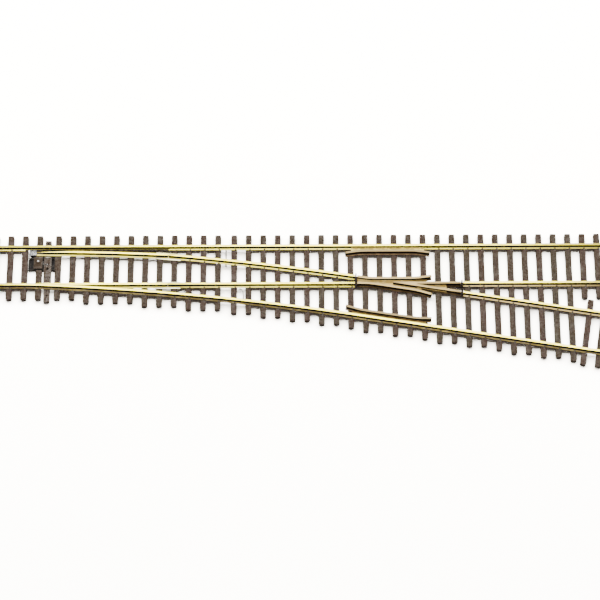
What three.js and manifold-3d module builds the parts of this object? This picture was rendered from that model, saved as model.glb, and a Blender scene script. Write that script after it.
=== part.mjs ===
// A right-hand model railway turnout: two stock rails, two hinged point rails thrown by a
// sliding bar with an over-centre spring, closure rails, a cast frog and two guard rails, all
// carried by two moulded tie strips. Millimetres, +Z up. The origin is the underside of a tie
// on the straight track's centre line, +X runs from the points to the frog, and the other
// track leaves towards -Y.
import * as THREE from "three";
import Module from "manifold-3d";
import { mergeVertices } from "three/addons/utils/BufferGeometryUtils.js";

const wasm = await Module();
wasm.setup();

// ---------------------------------------------------------------- driving dimensions

// Track and rail section
const GAUGE = 16.5;
const RAIL_HEIGHT = 2.5;
const HEAD_WIDTH = 0.92;
const HEAD_DEPTH = 0.55;
const HEAD_CHAMFER = 0.15;
const WEB_WIDTH = 0.44;
const FOOT_WIDTH = 2.0;
const FOOT_EDGE = 0.22;
const FOOT_RISE = 0.23;

// Alignment of the curved track
const FROG_NUMBER = 6;
const TOE_X = -110.5;
const TOE_ANGLE = THREE.MathUtils.degToRad(2.55);
const LEAD_RADIUS = 1150;
const TRACK_START_X = -127.4;
const TRACK_LENGTH = 260.4;

// Ties
const TIE_WIDTH = 2.55;
const TIE_HEIGHT = 2.1;
const TIE_LENGTH = 29.7;
const TIE_PITCH = 6.11;
const LONG_TIE_STEP = 1.7;
const LONG_TIE_FIRST_END = 14.5;
const LONG_TIE_OVERHANG = 4.5;
const TIES_BEFORE_ORIGIN = 4;
const SECTION_GAP_PITCH = 6.8;
const SPLIT_TIE_GAP = 0.3;
const STRIP_WEB_WIDTH = 1.9;
const STRIP_WEB_TOP_DROP = 0.05;
const STRIP_WEB_HEIGHT = 0.45;

// Point rails
const TIP_SETBACK = 3.2;
const POINT_LENGTH = 55.3;
const THROW = 2.0;
const POINT_CLEARANCE = 0.06;
const SLIDE_GAP = 0.08;
const HEEL_GAP = 0.15;
const FOOT_CUT_LEAD = 5;

// Heel joiners, folded round the rail foot
const JOINER_LENGTH = 10.4;
const JOINER_SHEET = 0.2;
const JOINER_SIDE_FIT = 0.1;
const JOINER_LIP = 0.75;
const JOINER_TOP_CLEARANCE = 0.05;
const JOINER_BOTTOM_GAP = 0.05;

// Throwbar and its ties
const TIP_TO_BAR = 4.55;
const BAR_TO_TIE_TIP_SIDE = 3.6;
const BAR_TO_TIE_HEEL_SIDE = 4.3;
const BAR_BOTTOM = 0.2;
const BAR_TOP_DROP = 0.35;
const BAR_WIDTH = 3.1;
const BAR_END_WIDTH = 2.5;
const BAR_NORTH_REACH = 3.9;
const BAR_SOUTH_REACH = 7.0;
const BAR_RUN_CLEARANCE = 0.2;
const ACTUATOR_HOLE_RADIUS = 0.55;
const ACTUATOR_HOLE_Y = -0.35;
const LINK_HOLE_RADIUS = 0.4;
const LINK_HOLE_INSET = 1.4;
const DIMPLE_RADIUS = 0.5;
const DIMPLE_DEPTH = 0.7;
const DIMPLE_INSET = 2.8;
const GROOVE_Y = -4.6;
const GROOVE_WIDTH = 0.4;
const GROOVE_DEPTH = 0.3;

// Link tabs that join each point rail to the throwbar
const TAB_SHEET = 0.15;
const TAB_GAP = 0.05;
const TAB_LENGTH = 2.4;
const TAB_REACH = 0.9;
const TAB_UNDER_FOOT = 0.45;
const TAB_PIN_RADIUS = 0.35;
const TAB_PIN_BOTTOM = 0.6;
const TAB_PIN_CLEARANCE = 0.2;
const TAB_PIN_INSET = 0.4;

// Over-centre spring, its housing, post and cover
const HOUSING_START = 8.15;
const HOUSING_END = 3.05;
const HOUSING_SOUTH = -0.9;
const HOUSING_NORTH = 4.9;
const HOUSING_BELOW_BAR = 0.45;
const HOUSING_WALL = 0.45;
const HOUSING_FLOOR = 0.15;
const HOUSING_TIE_GAP = 0.1;
const POST_TO_BAR = 3.95;
const POST_Y = 2.6;
const POST_RADIUS = 0.45;
const POST_PROUD = 0.25;
const POST_FIT = 0.05;
const SPRING_WIRE_RADIUS = 0.18;
const SPRING_EYE_GAP = 0.08;
const SPRING_TOP_GAP = 0.05;
const SPRING_WAVE = 0.75;
const SPRING_HOLE_RADIUS = 0.45;
const SPRING_HOOK_DEPTH = 0.9;
const COVER_WIDTH = 3.6;
const COVER_SOUTH = -0.6;
const COVER_NORTH = 4.7;
const COVER_THICKNESS = 0.55;
const COVER_LIFT = 0.05;
const COVER_BOSS_RADIUS = 0.95;
const COVER_BOSS_HEIGHT = 0.3;

// Contact plate ahead of the point rail that stands open
const CONTACT_PLATE_LENGTH = 3.0;
const CONTACT_PLATE_WIDTH = 2.5;
const CONTACT_PLATE_THICKNESS = 0.2;
const CONTACT_PLATE_TIP_GAP = 0.25;

// Frog, measured along the straight track from its theoretical point
const FROG_TOE = 13.3;
const FROG_HEEL = 30.9;
const FROG_FLANGEWAY = 1.3;
const FROG_FLOOR = 0.55;
const FROG_NOSE_WIDTH = 0.35;
const FROG_SOLID_WIDTH = 2.0;
const FROG_FILL_END = 24.4;
const FROG_FLOOR_END_STRAIGHT = 16.3;
const FROG_FLOOR_END_DIVERGING = 14.0;
const WING_FLARE_START = 11.7;
const WING_END = 18.2;
const WING_FLARE = 0.9;
const WING_EASE = 2.2;
const INSULATOR_THICKNESS = 0.6;
const INSULATOR_GAP = 0.05;
const INSULATOR_OVERSIZE = 0.1;

// Guard rails, measured along the straight track from the frog's theoretical point
const GUARD_FLANGEWAY = 1.6;
const GUARD_START = 17.7;
const GUARD_END = 17.8;
const GUARD_FLARE_LENGTH = 6.2;
const GUARD_FLARE = 0.9;
const GUARD_FLOOR_START = 15.1;
const GUARD_FLOOR_END = 15.4;
const GUARD_FLOOR_SHEET = 0.3;
const GUARD_FLOOR_GAP = 0.06;

// Jumper wires under the rails
const WIRE_RADIUS = 0.3;
const WIRE_RAIL_GAP = 0.05;
const WIRE_TAIL = 0.5;
const WIRE_WEB_GAP = 0.1;
const WIRE_BOW = 1.6;
const SOLDER_RADIUS = 0.55;

// Facets
const CURVE_STEP = 7;
const BEND_STEP = 1.5;
const WIRE_SIDES = 8;
const ROUND_SIDES = 24;

// ---------------------------------------------------------------- derived sizes

const HALF_GAUGE = GAUGE / 2;
const RAIL_OFFSET = HALF_GAUGE + HEAD_WIDTH / 2;
const RAIL_TOP = TIE_HEIGHT + RAIL_HEIGHT;
const FROG_ANGLE = 2 * Math.atan(1 / (2 * FROG_NUMBER));
const ARC_LENGTH = (FROG_ANGLE - TOE_ANGLE) * LEAD_RADIUS;
const TRACK_END_X = TRACK_START_X + TRACK_LENGTH;
const TIP_X = TOE_X + TIP_SETBACK;
const HEEL_X = TIP_X + POINT_LENGTH;
const BAR_X = TIP_X + TIP_TO_BAR;
const OPEN_ANGLE = THROW / (HEEL_X - BAR_X);
const JOINER_SIDE_CLEARANCE = (JOINER_LENGTH / 2) * OPEN_ANGLE + JOINER_SIDE_FIT;
const BAR_TOP = TIE_HEIGHT - BAR_TOP_DROP;
const BAR_LOW_TOP = TIE_HEIGHT - STRIP_WEB_TOP_DROP - STRIP_WEB_HEIGHT - BAR_RUN_CLEARANCE;
const BAR_NORTH_END = RAIL_OFFSET + BAR_NORTH_REACH;
const BAR_SOUTH_END = RAIL_OFFSET + BAR_SOUTH_REACH;
const HOUSING_HEIGHT = BAR_TOP - HOUSING_BELOW_BAR;
const TAB_TOP = TIE_HEIGHT + SLIDE_GAP - TAB_GAP;
const POST_X = BAR_X - POST_TO_BAR;
const SPRING_Z = BAR_TOP + SPRING_TOP_GAP + SPRING_WIRE_RADIUS;
const COVER_BOTTOM = SPRING_Z + SPRING_WIRE_RADIUS + COVER_LIFT;
const BOSS_TOP = COVER_BOTTOM + COVER_THICKNESS + COVER_BOSS_HEIGHT;
const WIRE_Z = TIE_HEIGHT - WIRE_RAIL_GAP - WIRE_RADIUS;
const FAR = 100;

// The curved track's centre line, at a distance past the toe and an offset to its left.
function divergingAt(station, offset, z) {
  const turned = THREE.MathUtils.clamp(station, 0, ARC_LENGTH);
  const heading = station < 0 ? 0 : TOE_ANGLE + turned / LEAD_RADIUS;
  const arcHeading = Math.max(heading, TOE_ANGLE);
  const straight = station - turned;
  const x = TOE_X + LEAD_RADIUS * (Math.sin(arcHeading) - Math.sin(TOE_ANGLE));
  const y = LEAD_RADIUS * (Math.cos(arcHeading) - Math.cos(TOE_ANGLE));
  return new THREE.Vector3(
    x + straight * Math.cos(heading) + offset * Math.sin(heading),
    y - straight * Math.sin(heading) + offset * Math.cos(heading),
    z,
  );
}

// The distance past the toe at which a line at this offset crosses x.
function stationAt(x, offset) {
  const arcStart = TOE_X + offset * Math.sin(TOE_ANGLE);
  const arcEnd = divergingAt(ARC_LENGTH, offset, 0).x;
  if (x <= arcStart) return Math.min(x - TOE_X, 0);
  if (x >= arcEnd) return ARC_LENGTH + (x - arcEnd) / Math.cos(FROG_ANGLE);
  const sine = (x - TOE_X + LEAD_RADIUS * Math.sin(TOE_ANGLE)) / (LEAD_RADIUS + offset);
  return (Math.asin(sine) - TOE_ANGLE) * LEAD_RADIUS;
}

function divergingPoint(x, offset, z) {
  return divergingAt(stationAt(x, offset), offset, z);
}

// Where the straight track's south rail and the curved track's north rail cross.
const FROG_POINT_X = (() => {
  const crossingOffset = HALF_GAUGE * (1 + 1 / Math.cos(FROG_ANGLE));
  const arcEnd = divergingAt(ARC_LENGTH, 0, 0);
  return arcEnd.x + (crossingOffset + arcEnd.y) / Math.tan(FROG_ANGLE);
})();
const FROG_TOE_X = FROG_POINT_X - FROG_TOE;
const FROG_HEEL_X = FROG_POINT_X + FROG_HEEL;
const END_LEAN = (FOOT_WIDTH / 2) * Math.sin(FROG_ANGLE);
const INSULATOR_REACH = INSULATOR_THICKNESS / 2 + INSULATOR_GAP + END_LEAN;
const DIVERGING_END = stationAt(TRACK_END_X - RAIL_OFFSET * Math.sin(FROG_ANGLE), 0);

// ---------------------------------------------------------------- curves

// A stretch of the curved track at one offset, between two values of x.
class DivergingCurve extends THREE.Curve {
  constructor(startX, endX, offset, z) {
    super();
    this.start = stationAt(startX, offset);
    this.end = stationAt(endX, offset);
    this.offset = offset;
    this.z = z;
  }

  getPoint(t, target = new THREE.Vector3()) {
    const station = THREE.MathUtils.lerp(this.start, this.end, t);
    return target.copy(divergingAt(station, this.offset, this.z));
  }
}

function straightCurve(startX, endX, y, z) {
  return new THREE.LineCurve3(new THREE.Vector3(startX, y, z), new THREE.Vector3(endX, y, z));
}

// A line through the points, with each inner corner eased over a length on either side.
function easedPath(points, ease) {
  const path = new THREE.CurvePath();
  let from = points[0];
  for (let i = 1; i < points.length - 1; i += 1) {
    const corner = points[i];
    const before = corner.clone().add(from.clone().sub(corner).setLength(ease));
    const after = corner.clone().add(points[i + 1].clone().sub(corner).setLength(ease));
    path.add(new THREE.LineCurve3(from, before));
    path.add(new THREE.QuadraticBezierCurve3(before, corner, after));
    from = after;
  }
  path.add(new THREE.LineCurve3(from, points[points.length - 1]));
  return path;
}

// ---------------------------------------------------------------- solids

function solidOf(geometry) {
  const bare = geometry.clone();
  bare.deleteAttribute("normal");
  bare.deleteAttribute("uv");
  const merged = mergeVertices(bare);
  return new wasm.Manifold(
    new wasm.Mesh({
      numProp: 3,
      vertProperties: new Float32Array(merged.attributes.position.array),
      triVerts: new Uint32Array(merged.index.array),
    }),
  );
}

function box(x0, x1, y0, y1, z0, z1) {
  const geometry = new THREE.BoxGeometry(x1 - x0, y1 - y0, z1 - z0);
  geometry.translate((x0 + x1) / 2, (y0 + y1) / 2, (z0 + z1) / 2);
  return solidOf(geometry);
}

function cylinder(x, y, radius, z0, z1) {
  const geometry = new THREE.CylinderGeometry(radius, radius, z1 - z0, ROUND_SIDES);
  geometry.rotateX(Math.PI / 2);
  geometry.translate(x, y, (z0 + z1) / 2);
  return solidOf(geometry);
}

// An upright prism over an outline of [x, y] points.
function prism(outline, z0, z1) {
  const shape = new THREE.Shape(outline.map(([x, y]) => new THREE.Vector2(x, y)));
  const geometry = new THREE.ExtrudeGeometry(shape, { depth: z1 - z0, bevelEnabled: false });
  geometry.translate(0, 0, z0);
  return solidOf(geometry);
}

// A section of [sideways, up] points carried along a level path.
function sweep(section, path, steps) {
  const shape = new THREE.Shape(section.map(([side, up]) => new THREE.Vector2(-up, side)));
  const options = { steps, bevelEnabled: false, extrudePath: path };
  return solidOf(new THREE.ExtrudeGeometry(shape, options));
}

function stepsFor(path, length) {
  return Math.max(1, Math.ceil(path.getLength() / length));
}

// The stretch of ground between two offsets of the curved track, as an upright prism.
function ribbon(startX, endX, offsetA, offsetB, z0, z1) {
  const steps = Math.ceil((endX - startX) / CURVE_STEP);
  const edge = (offset) =>
    Array.from({ length: steps + 1 }, (_, i) => {
      const point = divergingPoint(startX + ((endX - startX) * i) / steps, offset, 0);
      return [point.x, point.y];
    });
  return prism([...edge(offsetA), ...edge(offsetB).reverse()], z0, z1);
}

function mirroredSection(half) {
  return [...half, ...half.map(([side, up]) => [-side, up]).reverse()];
}

const HEAD_UNDERSIDE = RAIL_HEIGHT - HEAD_DEPTH;
const RAIL_SECTION = mirroredSection([
  [FOOT_WIDTH / 2, 0],
  [FOOT_WIDTH / 2, FOOT_EDGE],
  [WEB_WIDTH / 2, FOOT_EDGE + FOOT_RISE],
  [WEB_WIDTH / 2, HEAD_UNDERSIDE - HEAD_CHAMFER],
  [HEAD_WIDTH / 2, HEAD_UNDERSIDE],
  [HEAD_WIDTH / 2, RAIL_HEIGHT],
]);
const STRIP_WEB_SECTION = mirroredSection([
  [STRIP_WEB_WIDTH / 2, -STRIP_WEB_TOP_DROP - STRIP_WEB_HEIGHT],
  [STRIP_WEB_WIDTH / 2, -STRIP_WEB_TOP_DROP],
]);

function straightRail(startX, endX, y) {
  return sweep(RAIL_SECTION, straightCurve(startX, endX, y, TIE_HEIGHT), 1);
}

function curvedRail(startX, endX, offset) {
  const path = new DivergingCurve(startX, endX, offset, TIE_HEIGHT);
  return sweep(RAIL_SECTION, path, stepsFor(path, CURVE_STEP));
}

function bentRail(points) {
  const path = easedPath(points, WING_EASE);
  return sweep(RAIL_SECTION, path, stepsFor(path, BEND_STEP));
}

// ---------------------------------------------------------------- materials and nodes

const TIE_PLASTIC = new THREE.MeshStandardMaterial({ color: 0x62554a, roughness: 0.85, metalness: 0 });
const DARK_PLASTIC = new THREE.MeshStandardMaterial({ color: 0x2a2624, roughness: 0.7, metalness: 0 });
const RAIL_METAL = new THREE.MeshStandardMaterial({ color: 0xe6dc9c, roughness: 0.35, metalness: 1 });
const FROG_METAL = new THREE.MeshStandardMaterial({ color: 0xc9ab73, roughness: 0.5, metalness: 0.9 });
const PLATE_METAL = new THREE.MeshStandardMaterial({ color: 0xa9a9ac, roughness: 0.45, metalness: 1 });
const WIRE_METAL = new THREE.MeshStandardMaterial({ color: 0xc9c6bd, roughness: 0.4, metalness: 1 });

const turnout = new THREE.Group();

function addNode(name, solid, material, parent = turnout) {
  const made = solid.getMesh();
  const geometry = new THREE.BufferGeometry();
  geometry.setAttribute("position", new THREE.BufferAttribute(made.vertProperties, 3));
  geometry.setIndex(new THREE.BufferAttribute(made.triVerts, 1));
  geometry.computeVertexNormals();
  const mesh = new THREE.Mesh(geometry, material);
  mesh.name = name;
  parent.add(mesh);
}

// A group that turns its contents about an upright axis through a point.
function turnedGroup(pivot, angle) {
  const outer = new THREE.Group();
  const inner = new THREE.Group();
  outer.position.set(pivot.x, pivot.y, 0);
  outer.rotation.z = angle;
  inner.position.set(-pivot.x, -pivot.y, 0);
  outer.add(inner);
  turnout.add(outer);
  return inner;
}

// ---------------------------------------------------------------- ties

const HEAD_TIE_TIP_X = BAR_X - BAR_TO_TIE_TIP_SIDE;
const HEAD_TIE_HEEL_X = BAR_X + BAR_TO_TIE_HEEL_SIDE;
const FIRST_FROG_TIE_X = -TIES_BEFORE_ORIGIN * TIE_PITCH;
const FIRST_SWITCH_TIE_X = FIRST_FROG_TIE_X - SECTION_GAP_PITCH;

// Values from start towards end, one pitch apart, for as long as the test holds.
function pitched(start, pitch, holds) {
  const values = [];
  for (let value = start; holds(value); value += pitch) values.push(value);
  return values;
}

const leadInTies = pitched(
  HEAD_TIE_TIP_X,
  -TIE_PITCH,
  (x) => x > TRACK_START_X + TIE_WIDTH,
);
const switchTies = pitched(
  FIRST_SWITCH_TIE_X,
  -TIE_PITCH,
  (x) => x > HEAD_TIE_HEEL_X + TIE_WIDTH * 1.5,
);
// A tie carries both routes until there is room between them for a tie of each.
const longTies = pitched(
  FIRST_FROG_TIE_X,
  TIE_PITCH,
  (x) => -divergingPoint(x, 0, 0).y < TIE_LENGTH + SPLIT_TIE_GAP && x < TRACK_END_X - TIE_WIDTH,
);
const SPLIT_X = longTies[longTies.length - 1] + TIE_PITCH;
const straightTies = pitched(SPLIT_X, TIE_PITCH, (x) => x < TRACK_END_X - TIE_WIDTH);
const divergingTieStations = pitched(
  stationAt(SPLIT_X, 0),
  TIE_PITCH,
  (station) => station < DIVERGING_END - TIE_WIDTH,
);

// A long tie reaches past the curved track's outer rail, in even steps of length.
function southEnd(x) {
  const rail = -divergingPoint(x, -RAIL_OFFSET, 0).y;
  const short = rail + LONG_TIE_OVERHANG - LONG_TIE_FIRST_END;
  return -(LONG_TIE_FIRST_END + LONG_TIE_STEP * Math.max(0, Math.ceil(short / LONG_TIE_STEP)));
}

function tieSolid(x) {
  const half = TIE_WIDTH / 2;
  return box(x - half, x + half, southEnd(x), TIE_LENGTH / 2, 0, TIE_HEIGHT);
}

function stripWebs(startX, endX, innerStartX) {
  const straightLine = (y, fromX) =>
    sweep(STRIP_WEB_SECTION, straightCurve(fromX, endX, y, TIE_HEIGHT), 1);
  const curvedLine = (offset, fromX) => {
    const path = new DivergingCurve(fromX, endX, offset, TIE_HEIGHT);
    return sweep(STRIP_WEB_SECTION, path, stepsFor(path, CURVE_STEP));
  };
  return [
    straightLine(RAIL_OFFSET, startX),
    straightLine(-RAIL_OFFSET, innerStartX),
    curvedLine(RAIL_OFFSET, innerStartX),
    curvedLine(-RAIL_OFFSET, startX),
  ];
}

function unionOf(solids) {
  return solids.reduce((whole, next) => whole.add(next));
}

// ---------------------------------------------------------------- tie strip, switch end

const HEEL_CENTRES = {
  straight: new THREE.Vector3(HEEL_X, -RAIL_OFFSET, TIE_HEIGHT),
  diverging: divergingPoint(HEEL_X, RAIL_OFFSET, TIE_HEIGHT),
};

function joinerPath(side, extra) {
  const reach = JOINER_LENGTH / 2 + extra;
  if (side === "straight") {
    return straightCurve(HEEL_X - reach, HEEL_X + reach, -RAIL_OFFSET, TIE_HEIGHT);
  }
  return new DivergingCurve(HEEL_X - reach, HEEL_X + reach, RAIL_OFFSET, TIE_HEIGHT);
}

const JOINER_INSIDE = FOOT_WIDTH / 2 + JOINER_SIDE_CLEARANCE;
const JOINER_OUTSIDE = JOINER_INSIDE + JOINER_SHEET;
const JOINER_LIP_UNDERSIDE = FOOT_EDGE + FOOT_RISE + JOINER_TOP_CLEARANCE;
const JOINER_SECTION = mirroredSection([
  [JOINER_OUTSIDE, -JOINER_BOTTOM_GAP - JOINER_SHEET],
  [JOINER_OUTSIDE, JOINER_LIP_UNDERSIDE + JOINER_SHEET],
  [JOINER_OUTSIDE - JOINER_LIP, JOINER_LIP_UNDERSIDE + JOINER_SHEET],
  [JOINER_OUTSIDE - JOINER_LIP, JOINER_LIP_UNDERSIDE],
  [JOINER_INSIDE, JOINER_LIP_UNDERSIDE],
  [JOINER_INSIDE, -JOINER_BOTTOM_GAP],
]);
const JOINER_RECESS_SECTION = mirroredSection([
  [JOINER_OUTSIDE + POINT_CLEARANCE, -2 * JOINER_BOTTOM_GAP - JOINER_SHEET],
  [JOINER_OUTSIDE + POINT_CLEARANCE, RAIL_HEIGHT],
]);

function switchTieStrip() {
  const centres = [HEAD_TIE_HEEL_X, ...leadInTies, ...switchTies];
  const startX = Math.min(...centres);
  const housing = box(
    BAR_X - HOUSING_START - HOUSING_TIE_GAP,
    BAR_X + HOUSING_END + HOUSING_TIE_GAP,
    HOUSING_SOUTH - HOUSING_TIE_GAP,
    HOUSING_NORTH + HOUSING_TIE_GAP,
    -FAR,
    FAR,
  );
  const recesses = ["straight", "diverging"].map((side) =>
    sweep(JOINER_RECESS_SECTION, joinerPath(side, POINT_CLEARANCE), 2),
  );
  return unionOf([
    ...centres.map(tieSolid),
    ...stripWebs(startX, FIRST_SWITCH_TIE_X, HEEL_X),
  ])
    .subtract(housing)
    .subtract(unionOf(recesses));
}
addNode("tie_strip_switch_end", switchTieStrip(), TIE_PLASTIC);

// ---------------------------------------------------------------- tie strip, frog end

function frogTieStrip() {
  const straightEnds = straightTies.map((x) => {
    const half = TIE_WIDTH / 2;
    return box(x - half, x + half, -TIE_LENGTH / 2, TIE_LENGTH / 2, 0, TIE_HEIGHT);
  });
  const divergingEnds = divergingTieStations.map((station) => {
    const centre = divergingAt(station, 0, 0);
    const geometry = new THREE.BoxGeometry(TIE_WIDTH, TIE_LENGTH, TIE_HEIGHT);
    geometry.rotateZ(-FROG_ANGLE);
    geometry.translate(centre.x, centre.y, TIE_HEIGHT / 2);
    return solidOf(geometry);
  });
  const lastX = Math.max(...longTies, ...straightTies);
  return unionOf([
    ...longTies.map(tieSolid),
    ...straightEnds,
    ...divergingEnds,
    ...stripWebs(FIRST_FROG_TIE_X, lastX, FIRST_FROG_TIE_X),
  ]);
}
addNode("tie_strip_frog_end", frogTieStrip(), TIE_PLASTIC);

// ---------------------------------------------------------------- stock rails

// The foot is cut back to the head's face where a point rail lies against the stock rail.
const FOOT_CUT_START = TIP_X - FOOT_CUT_LEAD;
const straightFootCut = box(
  FOOT_CUT_START,
  HEEL_X,
  HALF_GAUGE - FOOT_WIDTH,
  HALF_GAUGE,
  0,
  RAIL_TOP,
);
const straightStock = straightRail(TRACK_START_X, TRACK_END_X, RAIL_OFFSET);
addNode("stock_rail_straight", straightStock.subtract(straightFootCut), RAIL_METAL);

const curvedEndX = divergingAt(DIVERGING_END, -RAIL_OFFSET, 0).x;
const curvedStock = straightRail(TRACK_START_X, TOE_X + SLIDE_GAP, -RAIL_OFFSET)
  .add(curvedRail(TOE_X, curvedEndX, -RAIL_OFFSET))
  .subtract(ribbon(FOOT_CUT_START, HEEL_X, FOOT_WIDTH - HALF_GAUGE, -HALF_GAUGE, 0, RAIL_TOP));
addNode("stock_rail_diverging", curvedStock, RAIL_METAL);

// ---------------------------------------------------------------- point rails

const slideGapSlab = box(-FAR * 2, FAR, -FAR, FAR, 0, TIE_HEIGHT + SLIDE_GAP);
const pointEndX = HEEL_X - HEEL_GAP / 2;

// The straight track's point rail lies closed against the curved stock rail at rest.
const straightPoint = straightRail(TIP_X, pointEndX, -RAIL_OFFSET)
  .subtract(
    ribbon(TOE_X, HEEL_X, -HALF_GAUGE + POINT_CLEARANCE, -HALF_GAUGE - FOOT_WIDTH * 2, 0, RAIL_TOP + 1),
  )
  .subtract(slideGapSlab);
addNode("point_rail_straight", straightPoint, RAIL_METAL);

// The curved track's point rail is drawn closed and then turned open about its heel.
const divergingPointRail = curvedRail(TIP_X, pointEndX, RAIL_OFFSET)
  .subtract(box(TOE_X, HEEL_X, HALF_GAUGE - POINT_CLEARANCE, FAR, 0, RAIL_TOP + 1))
  .subtract(slideGapSlab);
const openPoint = turnedGroup(HEEL_CENTRES.diverging, OPEN_ANGLE);
addNode("point_rail_diverging", divergingPointRail, RAIL_METAL, openPoint);

// Each link is a tab under the point rail's foot with a pin that drops into the throwbar.
function linkTab(footY) {
  const outerY = footY + TAB_UNDER_FOOT;
  const innerY = footY - TAB_REACH;
  const plate = box(
    BAR_X - TAB_LENGTH / 2,
    BAR_X + TAB_LENGTH / 2,
    innerY,
    outerY,
    TAB_TOP - TAB_SHEET,
    TAB_TOP,
  );
  return plate.add(cylinder(BAR_X, innerY + TAB_PIN_INSET, TAB_PIN_RADIUS, TAB_PIN_BOTTOM, TAB_TOP));
}
const divergingFootY = divergingPoint(BAR_X, RAIL_OFFSET, 0).y - FOOT_WIDTH / 2;
const straightFootY = -RAIL_OFFSET + FOOT_WIDTH / 2;
const mirrorY = (solid) => solid.mirror([0, 1, 0]);
addNode("point_link_straight", mirrorY(linkTab(-straightFootY)), PLATE_METAL);
addNode("point_link_diverging", linkTab(divergingFootY), PLATE_METAL, openPoint);

const straightPinY = straightFootY + TAB_REACH - TAB_PIN_INSET;
const divergingPin = new THREE.Vector2(BAR_X, divergingFootY - TAB_REACH + TAB_PIN_INSET);
divergingPin.rotateAround(HEEL_CENTRES.diverging, OPEN_ANGLE);

// ---------------------------------------------------------------- closure and exit rails

const closureStartX = HEEL_X + HEEL_GAP / 2;
const closureEndX = FROG_TOE_X - INSULATOR_REACH;
const exitStartX = FROG_HEEL_X + INSULATOR_REACH;
const exitEndX = divergingAt(DIVERGING_END, RAIL_OFFSET, 0).x;
addNode(
  "closure_rail_straight",
  straightRail(closureStartX, closureEndX, -RAIL_OFFSET),
  RAIL_METAL,
);
addNode(
  "closure_rail_diverging",
  curvedRail(closureStartX, closureEndX, RAIL_OFFSET),
  RAIL_METAL,
);
addNode("exit_rail_straight", straightRail(exitStartX, TRACK_END_X, -RAIL_OFFSET), RAIL_METAL);
addNode("exit_rail_diverging", curvedRail(exitStartX, exitEndX, RAIL_OFFSET), RAIL_METAL);

["straight", "diverging"].forEach((side) => {
  addNode("heel_joiner_" + side, sweep(JOINER_SECTION, joinerPath(side, 0), 2), WIRE_METAL);
});

// ---------------------------------------------------------------- frog casting

const castToeX = FROG_TOE_X + INSULATOR_REACH;
const castHeelX = FROG_HEEL_X - INSULATOR_REACH;
const WING_OFFSET = FROG_FLANGEWAY + HEAD_WIDTH / 2;

// A point of the curved track's straight end at an offset and a distance past the frog point.
function alongFrog(distance, offset) {
  return divergingPoint(FROG_POINT_X + distance, offset, TIE_HEIGHT);
}

// Where the straight line y meets a line at this offset of the curved track past the frog toe.
function knuckle(y, offset) {
  const start = divergingPoint(castToeX, offset, TIE_HEIGHT);
  const run = (start.y - y) / Math.tan(FROG_ANGLE);
  return new THREE.Vector3(start.x + run, y, TIE_HEIGHT);
}

function wingPoints() {
  const northY = -HALF_GAUGE + WING_OFFSET;
  const southOffset = HALF_GAUGE - WING_OFFSET;
  const north = [
    divergingPoint(castToeX, RAIL_OFFSET, TIE_HEIGHT),
    knuckle(northY, RAIL_OFFSET),
    new THREE.Vector3(FROG_POINT_X + WING_FLARE_START, northY, TIE_HEIGHT),
    new THREE.Vector3(FROG_POINT_X + WING_END, northY + WING_FLARE, TIE_HEIGHT),
  ];
  const south = [
    new THREE.Vector3(castToeX, -RAIL_OFFSET, TIE_HEIGHT),
    knuckle(-RAIL_OFFSET, southOffset),
    alongFrog(WING_FLARE_START, southOffset),
    alongFrog(WING_END, southOffset - WING_FLARE),
  ];
  return { north, south };
}

// Outline of the casting's vee between its two running edges, from x to x.
function veeOutline(startX, endX) {
  const southY = (x) => divergingPoint(x, HALF_GAUGE, 0).y;
  return [
    [startX, southY(startX)],
    [endX, southY(endX)],
    [endX, -HALF_GAUGE],
    [startX, -HALF_GAUGE],
  ];
}

function frogCasting() {
  const { north, south } = wingPoints();
  const floorTop = TIE_HEIGHT + FROG_FLOOR;
  const flat = (p) => [p.x, p.y];
  const northFloorEnd = FROG_POINT_X + FROG_FLOOR_END_STRAIGHT;
  const southFloorEnd = FROG_POINT_X + FROG_FLOOR_END_DIVERGING;
  const southFloorEdge = divergingPoint(southFloorEnd, HALF_GAUGE - WING_OFFSET, 0);
  const floor = prism(
    [
      flat(south[0]),
      flat(south[1]),
      flat(southFloorEdge),
      [southFloorEnd, -HALF_GAUGE - HEAD_WIDTH],
      [northFloorEnd, -HALF_GAUGE - HEAD_WIDTH],
      [northFloorEnd, north[2].y],
      flat(north[1]),
      flat(north[0]),
    ],
    TIE_HEIGHT,
    floorTop,
  );
  const noseX = FROG_POINT_X + FROG_NOSE_WIDTH * FROG_NUMBER;
  const solidEndX = FROG_POINT_X + FROG_SOLID_WIDTH * FROG_NUMBER;
  const fillEndX = FROG_POINT_X + FROG_FILL_END;
  return unionOf([
    bentRail(north),
    bentRail(south),
    floor,
    prism(veeOutline(noseX, solidEndX), TIE_HEIGHT, RAIL_TOP),
    prism(veeOutline(solidEndX, fillEndX), TIE_HEIGHT, floorTop),
    straightRail(solidEndX - HEAD_WIDTH, castHeelX, -RAIL_OFFSET),
    curvedRail(solidEndX - HEAD_WIDTH, castHeelX, RAIL_OFFSET),
  ]);
}
addNode("frog_casting", frogCasting(), FROG_METAL);

// ---------------------------------------------------------------- frog insulators

const insulatorTop = RAIL_TOP + INSULATOR_OVERSIZE / 2;
const insulatorHalf = FOOT_WIDTH / 2 + INSULATOR_OVERSIZE;

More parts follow.
